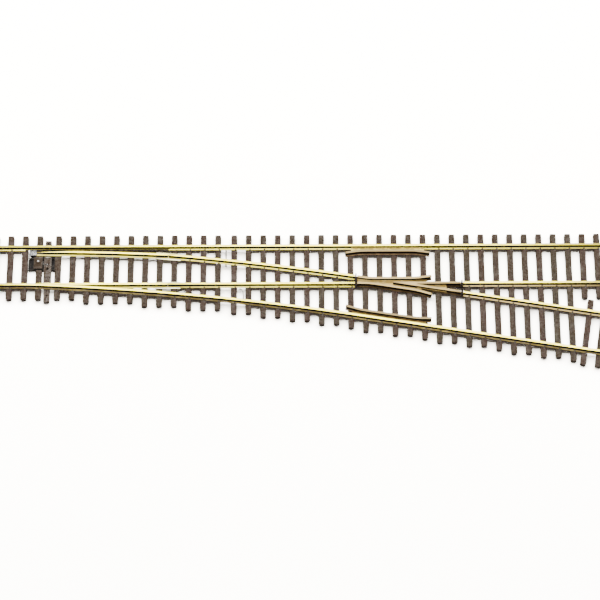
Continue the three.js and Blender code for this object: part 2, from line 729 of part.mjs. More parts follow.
function insulator(x, southY, northY) {
  const half = INSULATOR_THICKNESS / 2;
  const lean = half * Math.sin(FROG_ANGLE);
  return box(x - half, x + half, southY - lean, northY + lean, TIE_HEIGHT, insulatorTop);
}
const toeNorthY = divergingPoint(FROG_TOE_X, RAIL_OFFSET, 0).y;
const heelSouthY = divergingPoint(FROG_HEEL_X, RAIL_OFFSET, 0).y;
addNode(
  "frog_toe_insulator",
  insulator(FROG_TOE_X, -RAIL_OFFSET - insulatorHalf, toeNorthY + insulatorHalf),
  DARK_PLASTIC,
);
addNode(
  "frog_heel_insulator_straight",
  insulator(FROG_HEEL_X, -RAIL_OFFSET - insulatorHalf, -RAIL_OFFSET + insulatorHalf),
  DARK_PLASTIC,
);
addNode(
  "frog_heel_insulator_diverging",
  insulator(FROG_HEEL_X, heelSouthY - insulatorHalf, heelSouthY + insulatorHalf),
  DARK_PLASTIC,
);

// ---------------------------------------------------------------- guard rails

const GUARD_OFFSET = HALF_GAUGE - GUARD_FLANGEWAY - HEAD_WIDTH / 2;
const guardEnds = {
  start: FROG_POINT_X - GUARD_START,
  flareIn: FROG_POINT_X - GUARD_START + GUARD_FLARE_LENGTH,
  flareOut: FROG_POINT_X + GUARD_END - GUARD_FLARE_LENGTH,
  end: FROG_POINT_X + GUARD_END,
};
const straightGuard = bentRail([
  new THREE.Vector3(guardEnds.start, GUARD_OFFSET - GUARD_FLARE, TIE_HEIGHT),
  new THREE.Vector3(guardEnds.flareIn, GUARD_OFFSET, TIE_HEIGHT),
  new THREE.Vector3(guardEnds.flareOut, GUARD_OFFSET, TIE_HEIGHT),
  new THREE.Vector3(guardEnds.end, GUARD_OFFSET - GUARD_FLARE, TIE_HEIGHT),
]);
addNode("guard_rail_straight_side", straightGuard, FROG_METAL);

const divergingGuard = bentRail([
  divergingPoint(guardEnds.start, -GUARD_OFFSET + GUARD_FLARE, TIE_HEIGHT),
  divergingPoint(guardEnds.flareIn, -GUARD_OFFSET, TIE_HEIGHT),
  divergingPoint(guardEnds.flareOut, -GUARD_OFFSET, TIE_HEIGHT),
  divergingPoint(guardEnds.end, -GUARD_OFFSET + GUARD_FLARE, TIE_HEIGHT),
]);
addNode("guard_rail_diverging_side", divergingGuard, FROG_METAL);

// A strip lies in each guarded flangeway, over the feet of both rails.
const guardFloorBottom = TIE_HEIGHT + FOOT_EDGE + FOOT_RISE + GUARD_FLOOR_GAP;
const guardFloorTop = guardFloorBottom + GUARD_FLOOR_SHEET;
const guardFloorEdge = WEB_WIDTH / 2 + GUARD_FLOOR_GAP;
const guardFloorStart = FROG_POINT_X - GUARD_FLOOR_START;
const guardFloorEnd = FROG_POINT_X + GUARD_FLOOR_END;
const straightGuardFloor = box(
  guardFloorStart,
  guardFloorEnd,
  GUARD_OFFSET + guardFloorEdge,
  RAIL_OFFSET - guardFloorEdge,
  guardFloorBottom,
  guardFloorTop,
);
addNode("guard_floor_straight_side", straightGuardFloor, FROG_METAL);
const divergingGuardFloor = ribbon(
  guardFloorStart,
  guardFloorEnd,
  -GUARD_OFFSET - guardFloorEdge,
  -RAIL_OFFSET + guardFloorEdge,
  guardFloorBottom,
  guardFloorTop,
);
addNode("guard_floor_diverging_side", divergingGuardFloor, FROG_METAL);

// ---------------------------------------------------------------- throwbar

const webHalf = STRIP_WEB_WIDTH / 2;
const barCurvedRailY = divergingPoint(BAR_X, -RAIL_OFFSET, 0).y;
const SPRING_END_Y = POST_Y - THROW / 2;

function throwbar() {
  const span = (halfWidth, y0, y1, top) =>
    box(BAR_X - halfWidth, BAR_X + halfWidth, y0, y1, BAR_BOTTOM, top);
  const northLow = RAIL_OFFSET - webHalf - THROW - BAR_RUN_CLEARANCE;
  const northHigh = RAIL_OFFSET + webHalf + BAR_RUN_CLEARANCE;
  const southLow = barCurvedRailY + webHalf + BAR_RUN_CLEARANCE;
  const southHigh = barCurvedRailY - webHalf - THROW - BAR_RUN_CLEARANCE;
  const throughHole = (y, radius) => cylinder(BAR_X, y, radius, 0, BAR_TOP + 1);
  const body = unionOf([
    span(BAR_END_WIDTH / 2, -BAR_SOUTH_END, BAR_NORTH_END, BAR_LOW_TOP),
    span(BAR_END_WIDTH / 2, -BAR_SOUTH_END, southHigh, BAR_TOP),
    span(BAR_WIDTH / 2, southLow, northLow, BAR_TOP),
    span(BAR_END_WIDTH / 2, northHigh, BAR_NORTH_END, BAR_TOP),
  ]);
  const cuts = unionOf([
    throughHole(ACTUATOR_HOLE_Y, ACTUATOR_HOLE_RADIUS),
    throughHole(BAR_NORTH_END - LINK_HOLE_INSET, LINK_HOLE_RADIUS),
    throughHole(SPRING_END_Y, SPRING_HOLE_RADIUS),
    throughHole(straightPinY, TAB_PIN_RADIUS + TAB_PIN_CLEARANCE),
    throughHole(divergingPin.y, TAB_PIN_RADIUS + TAB_PIN_CLEARANCE),
    cylinder(BAR_X, DIMPLE_INSET - BAR_SOUTH_END, DIMPLE_RADIUS, BAR_TOP - DIMPLE_DEPTH, BAR_TOP + 1),
    box(BAR_X - BAR_WIDTH, BAR_X + BAR_WIDTH, GROOVE_Y, GROOVE_Y + GROOVE_WIDTH, BAR_TOP - GROOVE_DEPTH, FAR),
  ]);
  return body.subtract(cuts);
}
addNode("throwbar", throwbar(), TIE_PLASTIC);

// ---------------------------------------------------------------- over-centre spring

function springHousing() {
  const outer = box(
    BAR_X - HOUSING_START,
    BAR_X + HOUSING_END,
    HOUSING_SOUTH,
    HOUSING_NORTH,
    0,
    HOUSING_HEIGHT,
  );
  const inner = box(
    BAR_X - HOUSING_START + HOUSING_WALL,
    BAR_X + HOUSING_END - HOUSING_WALL,
    HOUSING_SOUTH + HOUSING_WALL,
    HOUSING_NORTH - HOUSING_WALL,
    HOUSING_FLOOR,
    FAR,
  );
  const barHalf = BAR_WIDTH / 2 + BAR_RUN_CLEARANCE;
  const barSlot = box(BAR_X - barHalf, BAR_X + barHalf, -FAR, FAR, HOUSING_FLOOR, FAR);
  return outer.subtract(inner).subtract(barSlot);
}
addNode("spring_housing", springHousing(), DARK_PLASTIC);
addNode(
  "spring_post",
  cylinder(POST_X, POST_Y, POST_RADIUS, HOUSING_FLOOR, BOSS_TOP + POST_PROUD),
  WIRE_METAL,
);

function springCover() {
  const plate = box(
    POST_X - COVER_WIDTH / 2,
    POST_X + COVER_WIDTH / 2,
    COVER_SOUTH,
    COVER_NORTH,
    COVER_BOTTOM,
    COVER_BOTTOM + COVER_THICKNESS,
  );
  return plate
    .add(cylinder(POST_X, POST_Y, COVER_BOSS_RADIUS, COVER_BOTTOM, BOSS_TOP))
    .subtract(cylinder(POST_X, POST_Y, POST_RADIUS + POST_FIT, 0, FAR));
}
addNode("spring_cover", springCover(), TIE_PLASTIC);

// The wire loops round the post, snakes across to the throwbar and drops into its hole.
function springWire() {
  const eyeRadius = POST_RADIUS + SPRING_EYE_GAP + SPRING_WIRE_RADIUS;
  const end = new THREE.Vector3(BAR_X, SPRING_END_Y, SPRING_Z);
  const post = new THREE.Vector3(POST_X, POST_Y, SPRING_Z);
  const along = end.clone().sub(post).normalize();
  const side = new THREE.Vector3(-along.y, along.x, 0);
  const reach = end.distanceTo(post);
  const at = (forward, sideways) =>
    post.clone().addScaledVector(along, forward).addScaledVector(side, sideways);
  const eye = [200, 240, 280, 320, 360, 400, 440].map((degrees) => {
    const turn = THREE.MathUtils.degToRad(degrees);
    return at(-eyeRadius * Math.cos(turn), eyeRadius * Math.sin(turn));
  });
  const snake = [
    at(reach * 0.42, SPRING_WAVE),
    at(reach * 0.58, -SPRING_WAVE / 2),
    at(reach * 0.78, -SPRING_WAVE / 3),
    at(reach, 0),
  ];
  const path = new THREE.CatmullRomCurve3([...eye, ...snake]);
  const section = Array.from({ length: WIRE_SIDES }, (_, i) => {
    const turn = (2 * Math.PI * i) / WIRE_SIDES;
    return [SPRING_WIRE_RADIUS * Math.cos(turn), SPRING_WIRE_RADIUS * Math.sin(turn)];
  });
  const hook = cylinder(
    end.x,
    end.y,
    SPRING_WIRE_RADIUS,
    SPRING_Z - SPRING_HOOK_DEPTH,
    SPRING_Z + SPRING_WIRE_RADIUS / 2,
  );
  return sweep(section, path, 36).add(hook);
}
addNode("over_centre_spring", springWire(), WIRE_METAL);

// ---------------------------------------------------------------- contact plate

const contactEndX = TIP_X - CONTACT_PLATE_TIP_GAP;
const contactNorthY = HALF_GAUGE - POINT_CLEARANCE;
const contactTop = TIE_HEIGHT + CONTACT_PLATE_THICKNESS;
const contactPlate = box(
  contactEndX - CONTACT_PLATE_LENGTH,
  contactEndX,
  contactNorthY - CONTACT_PLATE_WIDTH,
  contactNorthY,
  TIE_HEIGHT,
  contactTop,
);
addNode("point_contact_plate", contactPlate, PLATE_METAL);

// ---------------------------------------------------------------- jumper wires

function wireAlong(path, steps) {
  const section = Array.from({ length: WIRE_SIDES }, (_, i) => {
    const turn = (2 * Math.PI * (i + 0.5)) / WIRE_SIDES;
    return [WIRE_RADIUS * Math.cos(turn), WIRE_RADIUS * Math.sin(turn)];
  });
  return sweep(section, path, steps);
}

// One wire crosses the open bay between the tie strips, under two rails of unlike routes.
const bayX = FIRST_FROG_TIE_X - SECTION_GAP_PITCH / 2;
const bayRailY = divergingPoint(bayX, RAIL_OFFSET, 0).y;
const bayWireEnd = bayRailY - FOOT_WIDTH / 2 - WIRE_TAIL;
const bayWire = wireAlong(
  new THREE.LineCurve3(
    new THREE.Vector3(bayX, RAIL_OFFSET + FOOT_WIDTH / 2, WIRE_Z),
    new THREE.Vector3(bayX, bayWireEnd, WIRE_Z),
  ),
  1,
);
const solder = new THREE.SphereGeometry(SOLDER_RADIUS, 12, 8);
solder.translate(bayX, bayWireEnd, WIRE_Z);
addNode("jumper_wire_straight_side", bayWire.add(solidOf(solder)), WIRE_METAL);

// The other bows across the next bay but one, between the strip webs of the two rails.
const bowX = FIRST_FROG_TIE_X + TIE_PITCH / 2;
const bowStartY = -RAIL_OFFSET - webHalf - WIRE_RADIUS - WIRE_WEB_GAP;
const bowEndY = divergingPoint(bowX, -RAIL_OFFSET, 0).y + webHalf + WIRE_WEB_GAP;
const bowWire = wireAlong(
  new THREE.QuadraticBezierCurve3(
    new THREE.Vector3(bowX - WIRE_BOW / 2, bowStartY, WIRE_Z),
    new THREE.Vector3(bowX + WIRE_BOW, bowStartY, WIRE_Z),
    new THREE.Vector3(bowX + WIRE_BOW / 2, bowEndY, WIRE_Z),
  ),
  10,
);
addNode("jumper_wire_diverging_side", bowWire, WIRE_METAL);

export default turnout;
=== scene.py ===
"""Detailed look of a right-hand model railway turnout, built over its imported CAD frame.

Lengths are metres in the frame's own coordinates: +X runs from the points to the frog, +Z is up,
and the curved route leaves towards -Y. Each class models and dresses one sub-assembly.
"""

import logging
import math
import random
from dataclasses import dataclass, field
from enum import Enum
from typing import Callable, Sequence

import bpy
import numpy as np
from mathutils import Matrix, Vector


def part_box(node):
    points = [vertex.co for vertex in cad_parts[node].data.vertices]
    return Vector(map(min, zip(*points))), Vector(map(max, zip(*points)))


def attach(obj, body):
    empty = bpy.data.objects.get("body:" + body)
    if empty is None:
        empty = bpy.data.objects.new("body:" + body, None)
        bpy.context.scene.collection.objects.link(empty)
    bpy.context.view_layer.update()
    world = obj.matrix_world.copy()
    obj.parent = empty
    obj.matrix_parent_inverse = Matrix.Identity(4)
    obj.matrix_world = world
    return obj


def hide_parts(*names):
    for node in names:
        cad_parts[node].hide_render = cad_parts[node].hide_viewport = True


LOG = logging.getLogger("turnout")

MM = 0.001
GRAIN_SEED = 41

# A rail's centre line is read from its crown, one row of points at a time.
CROWN_BAND = 0.05 * MM
ROW_STEP = 0.9 * MM
LEAST_HEAD_WIDTH = 0.5 * MM

Colour = tuple[float, float, float]
Point = tuple[float, float, float]


class Body(Enum):
    """The moving groups of the frame."""

    BASE = "base"
    THROWBAR = "throwbar"
    STRAIGHT_POINT = "straight_point"
    DIVERGING_POINT = "diverging_point"
    SPRING = "spring"


class Slot(Enum):
    """The record's material slots."""

    TIE_PLASTIC = "tie_plastic"
    DARK_PLASTIC = "dark_plastic"
    RAIL_METAL = "rail_metal"
    FROG_METAL = "frog_metal"
    PLATE_METAL = "plate_metal"
    WIRE_METAL = "wire_metal"


# ------------------------------------------------------------------------------ mesh work


def only(obj: bpy.types.Object) -> None:
    """Makes one object the selected and active one.

    Args:
        obj: The object to work on.
    """
    bpy.ops.object.select_all(action="DESELECT")
    obj.select_set(True)
    bpy.context.view_layer.objects.active = obj


def pick(obj: bpy.types.Object, kind: str, test: Callable[..., bool]) -> int:
    """Selects parts of a mesh in code, and leaves the object in edit mode.

    Args:
        obj: The object whose mesh is edited.
        kind: VERT, EDGE or FACE.
        test: Takes the points of one element and says whether it is selected.

    Returns:
        The number of elements selected.
    """
    only(obj)
    bpy.ops.object.mode_set(mode="EDIT")
    bpy.ops.mesh.select_mode(type=kind)
    bpy.ops.mesh.select_all(action="DESELECT")
    bpy.ops.object.mode_set(mode="OBJECT")
    mesh = obj.data
    elements = {"VERT": mesh.vertices, "EDGE": mesh.edges, "FACE": mesh.polygons}[kind]
    count = 0
    for element in elements:
        if kind == "VERT":
            points = [element.co]
        else:
            points = [mesh.vertices[i].co for i in element.vertices]
        element.select = test(points)
        count += element.select
    bpy.ops.object.mode_set(mode="EDIT")
    return count


def leave_edit() -> None:
    """Returns to object mode."""
    bpy.ops.object.mode_set(mode="OBJECT")


def block(name: str, size: Point, centre: Point = (0, 0, 0)) -> bpy.types.Object:
    """Adds a box.

    Args:
        name: The object's name.
        size: Its full lengths along X, Y and Z.
        centre: Its centre.

    Returns:
        The new object, with its scale applied.
    """
    bpy.ops.mesh.primitive_cube_add(size=1, location=centre)
    obj = bpy.context.active_object
    obj.name = name
    obj.scale = size
    bpy.ops.object.transform_apply(location=True, rotation=True, scale=True)
    return obj


def drum(name: str, radius: float, height: float, base: Point, sides: int = 32) -> bpy.types.Object:
    """Adds an upright cylinder.

    Args:
        name: The object's name.
        radius: Its radius.
        height: Its height.
        base: The centre of its lower face.
        sides: Its number of sides.

    Returns:
        The new object, with its place applied.
    """
    centre = (base[0], base[1], base[2] + height / 2)
    bpy.ops.mesh.primitive_cylinder_add(
        vertices=sides, radius=radius, depth=height, location=centre
    )
    obj = bpy.context.active_object
    obj.name = name
    bpy.ops.object.transform_apply(location=True, rotation=True, scale=True)
    return obj


def bead(name: str, size: Point, centre: Point) -> bpy.types.Object:
    """Adds a flattened ball, as of solder.

    Args:
        name: The object's name.
        size: Its full lengths along X, Y and Z.
        centre: Its centre.

    Returns:
        The new object, with its place and scale applied.
    """
    bpy.ops.mesh.primitive_uv_sphere_add(segments=24, ring_count=12, radius=0.5, location=centre)
    obj = bpy.context.active_object
    obj.name = name
    obj.scale = size
    bpy.ops.object.transform_apply(location=True, rotation=True, scale=True)
    bpy.ops.object.shade_smooth()
    return obj


def soften(
    obj: bpy.types.Object, width: float, segments: int = 2, angle: float = 28, smooth: float = 40
) -> bpy.types.Object:
    """Rounds the sharp edges of a finished shape and shades it.

    Args:
        obj: The object to round.
        width: The width of the rounding.
        segments: Its number of steps.
        angle: Edges sharper than this many degrees are rounded.
        smooth: Faces that meet under this many degrees are shaded smooth.

    Returns:
        The same object.
    """
    only(obj)
    bpy.ops.object.modifier_add(type="BEVEL")
    bevel = obj.modifiers[-1]
    bevel.width = width
    bevel.segments = segments
    bevel.limit_method = "ANGLE"
    bevel.angle_limit = math.radians(angle)
    bevel.use_clamp_overlap = True
    bevel.harden_normals = False
    bpy.ops.object.modifier_apply(modifier=bevel.name)
    bpy.ops.object.shade_smooth_by_angle(angle=math.radians(smooth))
    return obj


def cad_copy(node: str, name: str) -> bpy.types.Object:
    """Copies a CAD node's mesh into a new object and joins its triangles into quads.

    Args:
        node: The CAD node.
        name: The new object's name.

    Returns:
        The new object, at the origin.
    """
    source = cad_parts[node]
    obj = bpy.data.objects.new(name, source.data.copy())
    obj.data.name = name
    obj.data.materials.clear()
    bpy.context.scene.collection.objects.link(obj)
    pick(obj, "VERT", lambda points: True)
    bpy.ops.mesh.remove_doubles(threshold=2e-6)
    bpy.ops.mesh.select_mode(type="FACE")
    bpy.ops.mesh.select_all(action="SELECT")
    bpy.ops.mesh.tris_convert_to_quads(
        face_threshold=math.radians(1), shape_threshold=math.radians(180)
    )
    bpy.ops.mesh.normals_make_consistent(inside=False)
    leave_edit()
    return obj


def placed_copy(template: bpy.types.Object, matrix: Matrix) -> bpy.types.Object:
    """Copies a modelled shape, with a mesh of its own.

    Args:
        template: The shape.
        matrix: Where the copy goes.

    Returns:
        The copy, with its place still to be applied.
    """
    twin = template.copy()
    twin.data = template.data.copy()
    twin.matrix_world = matrix
    bpy.context.scene.collection.objects.link(twin)
    return twin


def fuse(name: str, parts: Sequence[bpy.types.Object]) -> bpy.types.Object:
    """Applies the places of several objects and joins them into one at the origin.

    Args:
        name: The name of the joined object.
        parts: The objects.

    Returns:
        The joined object.
    """
    host = bpy.data.objects.new(name, bpy.data.meshes.new(name))
    bpy.context.scene.collection.objects.link(host)
    bpy.ops.object.select_all(action="DESELECT")
    for part in parts:
        part.select_set(True)
    bpy.context.view_layer.objects.active = parts[0]
    bpy.ops.object.transform_apply(location=True, rotation=True, scale=True)
    host.select_set(True)
    bpy.context.view_layer.objects.active = host
    bpy.ops.object.join()
    host.name = name
    host.data.name = name
    return host


def discard(obj: bpy.types.Object) -> None:
    """Removes a template that has been copied.

    Args:
        obj: The template.
    """
    bpy.data.objects.remove(obj, do_unlink=True)


def note_attribute(obj: bpy.types.Object, name: str, values: np.ndarray) -> None:
    """Stores one number or one vector per vertex.

    Args:
        obj: The object.
        name: The attribute's name.
        values: One row per vertex.
    """
    vector = values.ndim == 2
    layer = obj.data.attributes.new(name, "FLOAT_VECTOR" if vector else "FLOAT", "POINT")
    layer.data.foreach_set("vector" if vector else "value", values.astype(np.float32).ravel())


def vertices_of(obj: bpy.types.Object) -> np.ndarray:
    """Reads a mesh's vertices.

    Args:
        obj: The object.

    Returns:
        One row of X, Y and Z per vertex.
    """
    out = np.empty(len(obj.data.vertices) * 3, np.float32)
    obj.data.vertices.foreach_get("co", out)
    return out.reshape(-1, 3)


def hand_over(
    obj: bpy.types.Object, body: Body, slot: Slot, material: bpy.types.Material, *nodes: str
) -> bpy.types.Object:
    """Gives a finished piece its material and body, and hides the CAD nodes it stands for.

    Args:
        obj: The piece.
        body: The body it moves with.
        slot: The record's slot for its finish; not used.
        material: Its material.
        nodes: The CAD nodes it replaces.

    Returns:
        The same piece.
    """
    obj.data.materials.clear()
    obj.data.materials.append(material)
    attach(obj, body.value)
    if nodes:
        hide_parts(*nodes)
    LOG.info("%s: %d faces on %s", obj.name, len(obj.data.polygons), body.value)
    return obj


# ------------------------------------------------------------------------------ shader work


class Graph:
    """Short ways to build a shader tree."""

    def __init__(self, tree: bpy.types.NodeTree) -> None:
        """Keeps the tree.

        Args:
            tree: The tree to build in.
        """
        self.tree = tree

    def add(self, kind: str, **settings: object) -> bpy.types.Node:
        """Adds a node.

        Args:
            kind: The node's type.
            settings: Its properties.

        Returns:
            The node.
        """
        node = self.tree.nodes.new(kind)
        for key, value in settings.items():
            setattr(node, key, value)
        return node

    def feed(self, socket: bpy.types.NodeSocket, value: object) -> None:
        """Links a socket, or sets its value.

        Args:
            socket: The input.
            value: Another node's output, a number, a vector or a colour.
        """
        if isinstance(value, bpy.types.NodeSocket):
            self.tree.links.new(value, socket)
        elif isinstance(value, tuple) and socket.type == "RGBA" and len(value) == 3:
            socket.default_value = (*value, 1.0)
        else:
            socket.default_value = value

    def maths(self, operation: str, *values: object) -> bpy.types.NodeSocket:
        """Adds a sum.

        Args:
            operation: The name of the operation.
            values: Its inputs.

        Returns:
            Its result.
        """
        node = self.add("ShaderNodeMath", operation=operation)
        for socket, value in zip(node.inputs, values):
            self.feed(socket, value)
        return node.outputs[0]

    def fade(self, value: object, low: float, high: float) -> bpy.types.NodeSocket:
        """Goes smoothly from 0 at low to 1 at high.

        Args:
            value: The number to test.
            low: Where the result is 0.
            high: Where the result is 1.

        Returns:
            The result.
        """
        node = self.add("ShaderNodeMapRange", interpolation_type="SMOOTHSTEP")
        for socket, number in zip(node.inputs, (value, low, high, 0.0, 1.0)):
            self.feed(socket, number)
        return node.outputs[0]

    def mix(self, share: object, a: object, b: object, blend: str = "MIX") -> bpy.types.NodeSocket:
        """Mixes two colours.

        Args:
            share: How much of the second one.
            a: The first colour.
            b: The second colour.
            blend: How they are mixed.

        Returns:
            The mixed colour.
        """
        node = self.add("ShaderNodeMix", data_type="RGBA", blend_type=blend)
        self.feed(node.inputs[0], share)
        self.feed(node.inputs[6], a)
        self.feed(node.inputs[7], b)
        return node.outputs[2]

    def stretch(self, vector: object, scale: Point) -> bpy.types.NodeSocket:
        """Scales coordinates.

        Args:
            vector: The coordinates.
            scale: The scale along each axis.

        Returns:
            The scaled coordinates.
        """
        node = self.add("ShaderNodeVectorMath", operation="MULTIPLY")
        self.feed(node.inputs[0], vector)
        self.feed(node.inputs[1], scale)
        return node.outputs[0]

    def noise(
        self, vector: object, scale: object, detail: float = 4, rough: float = 0.55
    ) -> bpy.types.NodeSocket:
        """Adds a noise.

        Args:
            vector: Its coordinates.
            scale: Its scale.
            detail: Its number of octaves.
            rough: The weight of the finer octaves.

        Returns:
            Its value.
        """
        node = self.add("ShaderNodeTexNoise")
        self.feed(node.inputs["Vector"], vector)
        self.feed(node.inputs["Scale"], scale)
        self.feed(node.inputs["Detail"], detail)
        self.feed(node.inputs["Roughness"], rough)
        return node.outputs[0]

    def bump(self, height: object, depth: float, strength: object) -> bpy.types.NodeSocket:
        """Adds a bump.

        Args:
            height: The height map.
            depth: The depth in metres of a full step.
            strength: How much it shows.

        Returns:
            The normal.
        """
        node = self.add("ShaderNodeBump")
        self.feed(node.inputs["Height"], height)
        self.feed(node.inputs["Distance"], depth)
        self.feed(node.inputs["Strength"], strength)
        return node.outputs[0]

    def facing_up(self) -> bpy.types.NodeSocket:
        """Reads how far a surface faces up.

        Returns:
            The upward part of the normal.
        """
        geometry = self.add("ShaderNodeNewGeometry")
        split = self.add("ShaderNodeSeparateXYZ")
        self.feed(split.inputs[0], geometry.outputs["Normal"])
        return split.outputs[2]

    def place(self) -> bpy.types.NodeSocket:
        """Reads the object coordinates in millimetres.

        Returns:
            The coordinates.
        """
        coordinates = self.add("ShaderNodeTexCoord")
        return self.stretch(coordinates.outputs["Object"], (1000.0, 1000.0, 1000.0))

    def height(self, place: object) -> bpy.types.NodeSocket:
        """Reads the height out of coordinates.

        Args:
            place: The coordinates.

        Returns:
            The Z value.
        """
        split = self.add("ShaderNodeSeparateXYZ")
        self.feed(split.inputs[0], place)
        return split.outputs[2]


def open_group(
    name: str, inputs: dict[str, tuple[str, object]], outputs: dict[str, str]
) -> tuple[bpy.types.NodeTree, Graph, dict, dict]:
    """Starts a shared node group.

    Args:
        name: The group's name.
        inputs: Each input's short type and default.
        outputs: Each output's short type.

    Returns:
        The tree, its graph, its input sockets and its output sockets.
    """
    tree = bpy.data.node_groups.new(name, "ShaderNodeTree")
    for key, (kind, default) in inputs.items():
        socket = tree.interface.new_socket(key, in_out="INPUT", socket_type=f"NodeSocket{kind}")
        if default is not None:
            socket.default_value = default
    for key, kind in outputs.items():
        tree.interface.new_socket(key, in_out="OUTPUT", socket_type=f"NodeSocket{kind}")
    graph = Graph(tree)
    entry = graph.add("NodeGroupInput")
    leaving = graph.add("NodeGroupOutput")
    return (
        tree,
        graph,
        {key: entry.outputs[key] for key in inputs},
        {key: leaving.inputs[key] for key in outputs},
    )


def drawn_lines_group() -> bpy.types.NodeTree:
    """Fine scratches along one axis, as on drawn or rubbed metal.

    Returns:
        The group, with a value and a normal.
    """
    tree, g, ins, outs = open_group(
        "drawn_lines",
        {"Place": ("Vector", None), "Fineness": ("Float", 1.0), "Depth": ("Float", 0.3)},
        {"Value": "Float", "Normal": "Vector"},
    )
    lines = g.noise(g.stretch(ins["Place"], (0.35, 9.0, 9.0)), ins["Fineness"], 6, 0.7)
    broad = g.noise(g.stretch(ins["Place"], (0.06, 1.4, 1.4)), ins["Fineness"], 3, 0.5)
    value = g.maths("MULTIPLY_ADD", lines, 0.6, g.maths("MULTIPLY", broad, 0.4))
    g.feed(outs["Value"], value)
    g.feed(outs["Normal"], g.bump(lines, 0.00001, ins["Depth"]))
    return tree


def mould_grain_group() -> bpy.types.NodeTree:
    """Wood grain moulded along a tie, with pores and a few long splits.

    Returns:
        The group, with grain, splits and a normal.
    """
    tree, g, ins, outs = open_group(
        "mould_grain",
        {"Place": ("Vector", None), "Depth": ("Float", 0.7)},
        {"Grain": "Float", "Split": "Float", "Normal": "Vector"},
    )
    warp = g.noise(g.stretch(ins["Place"], (0.3, 0.3, 0.3)), 1.0, 2, 0.5)
    shift = g.add("ShaderNodeVectorMath", operation="MULTIPLY_ADD")
    g.feed(shift.inputs[0], warp)
    g.feed(shift.inputs[1], (0.0, 0.5, 0.5))
    g.feed(shift.inputs[2], ins["Place"])
    bent = shift.outputs[0]
    fibres = g.noise(g.stretch(bent, (0.22, 6.0, 6.0)), 1.0, 7, 0.68)
    splits = g.noise(g.stretch(bent, (0.12, 2.6, 2.6)), 1.0, 2, 0.5)
    crack = g.fade(splits, 0.62, 0.72)
    pores = g.noise(g.stretch(ins["Place"], (2.0, 9.0, 9.0)), 1.0, 3, 0.6)
    height = g.maths("MULTIPLY_ADD", crack, -0.9, g.maths("MULTIPLY_ADD", pores, 0.35, fibres))
    g.feed(outs["Grain"], fibres)
    g.feed(outs["Split"], crack)
    g.feed(outs["Normal"], g.bump(height, 0.00006, ins["Depth"]))
    return tree


def edge_wear_group() -> bpy.types.NodeTree:
    """Where an edge is rubbed.

    Returns:
        The group, with a mask.
    """
    tree, g, ins, outs = open_group(
        "edge_wear",
        {"Place": ("Vector", None), "Amount": ("Float", 0.5)},
        {"Mask": "Float"},
    )
    geometry = g.add("ShaderNodeNewGeometry")
    edge = g.fade(geometry.outputs["Pointiness"], 0.52, 0.62)
    patch = g.fade(g.noise(ins["Place"], 1.7, 5, 0.6), 0.35, 0.65)
    g.feed(outs["Mask"], g.maths("MULTIPLY", g.maths("MULTIPLY", edge, patch), ins["Amount"]))
    return tree


def dust_group() -> bpy.types.NodeTree:
    """Fine pale dust on faces that look up, with scattered smudges.

    Returns:
        The group, with a mask.
    """
    tree, g, ins, outs = open_group(
        "dust",
        {"Place": ("Vector", None), "Amount": ("Float", 0.3)},
        {"Mask": "Float"},
    )
    up = g.fade(g.facing_up(), 0.3, 0.95)
    cloud = g.fade(g.noise(ins["Place"], 0.35, 5, 0.6), 0.42, 0.8)
    specks = g.fade(g.noise(ins["Place"], 5.5, 2, 0.5), 0.66, 0.74)
    mask = g.maths("MULTIPLY_ADD", specks, 0.5, cloud)
    g.feed(outs["Mask"], g.maths("MULTIPLY", g.maths("MULTIPLY", mask, up), ins["Amount"]))
    return tree


class Effects:
    """The shared node groups, built once."""

    def __init__(self) -> None:
        """Builds every group."""
        self.lines = drawn_lines_group()
        self.grain = mould_grain_group()
        self.wear = edge_wear_group()
        self.dust = dust_group()

    @staticmethod
    def use(graph: Graph, tree: bpy.types.NodeTree, **inputs: object) -> bpy.types.Node:
        """Adds one of the groups to a material.

        Args:
            graph: The material's graph.
            tree: The group.
            inputs: Its inputs by name.

        Returns:
            The group's node.
        """
        node = graph.add("ShaderNodeGroup", node_tree=tree)
        for key, value in inputs.items():
            graph.feed(node.inputs[key], value)
        return node


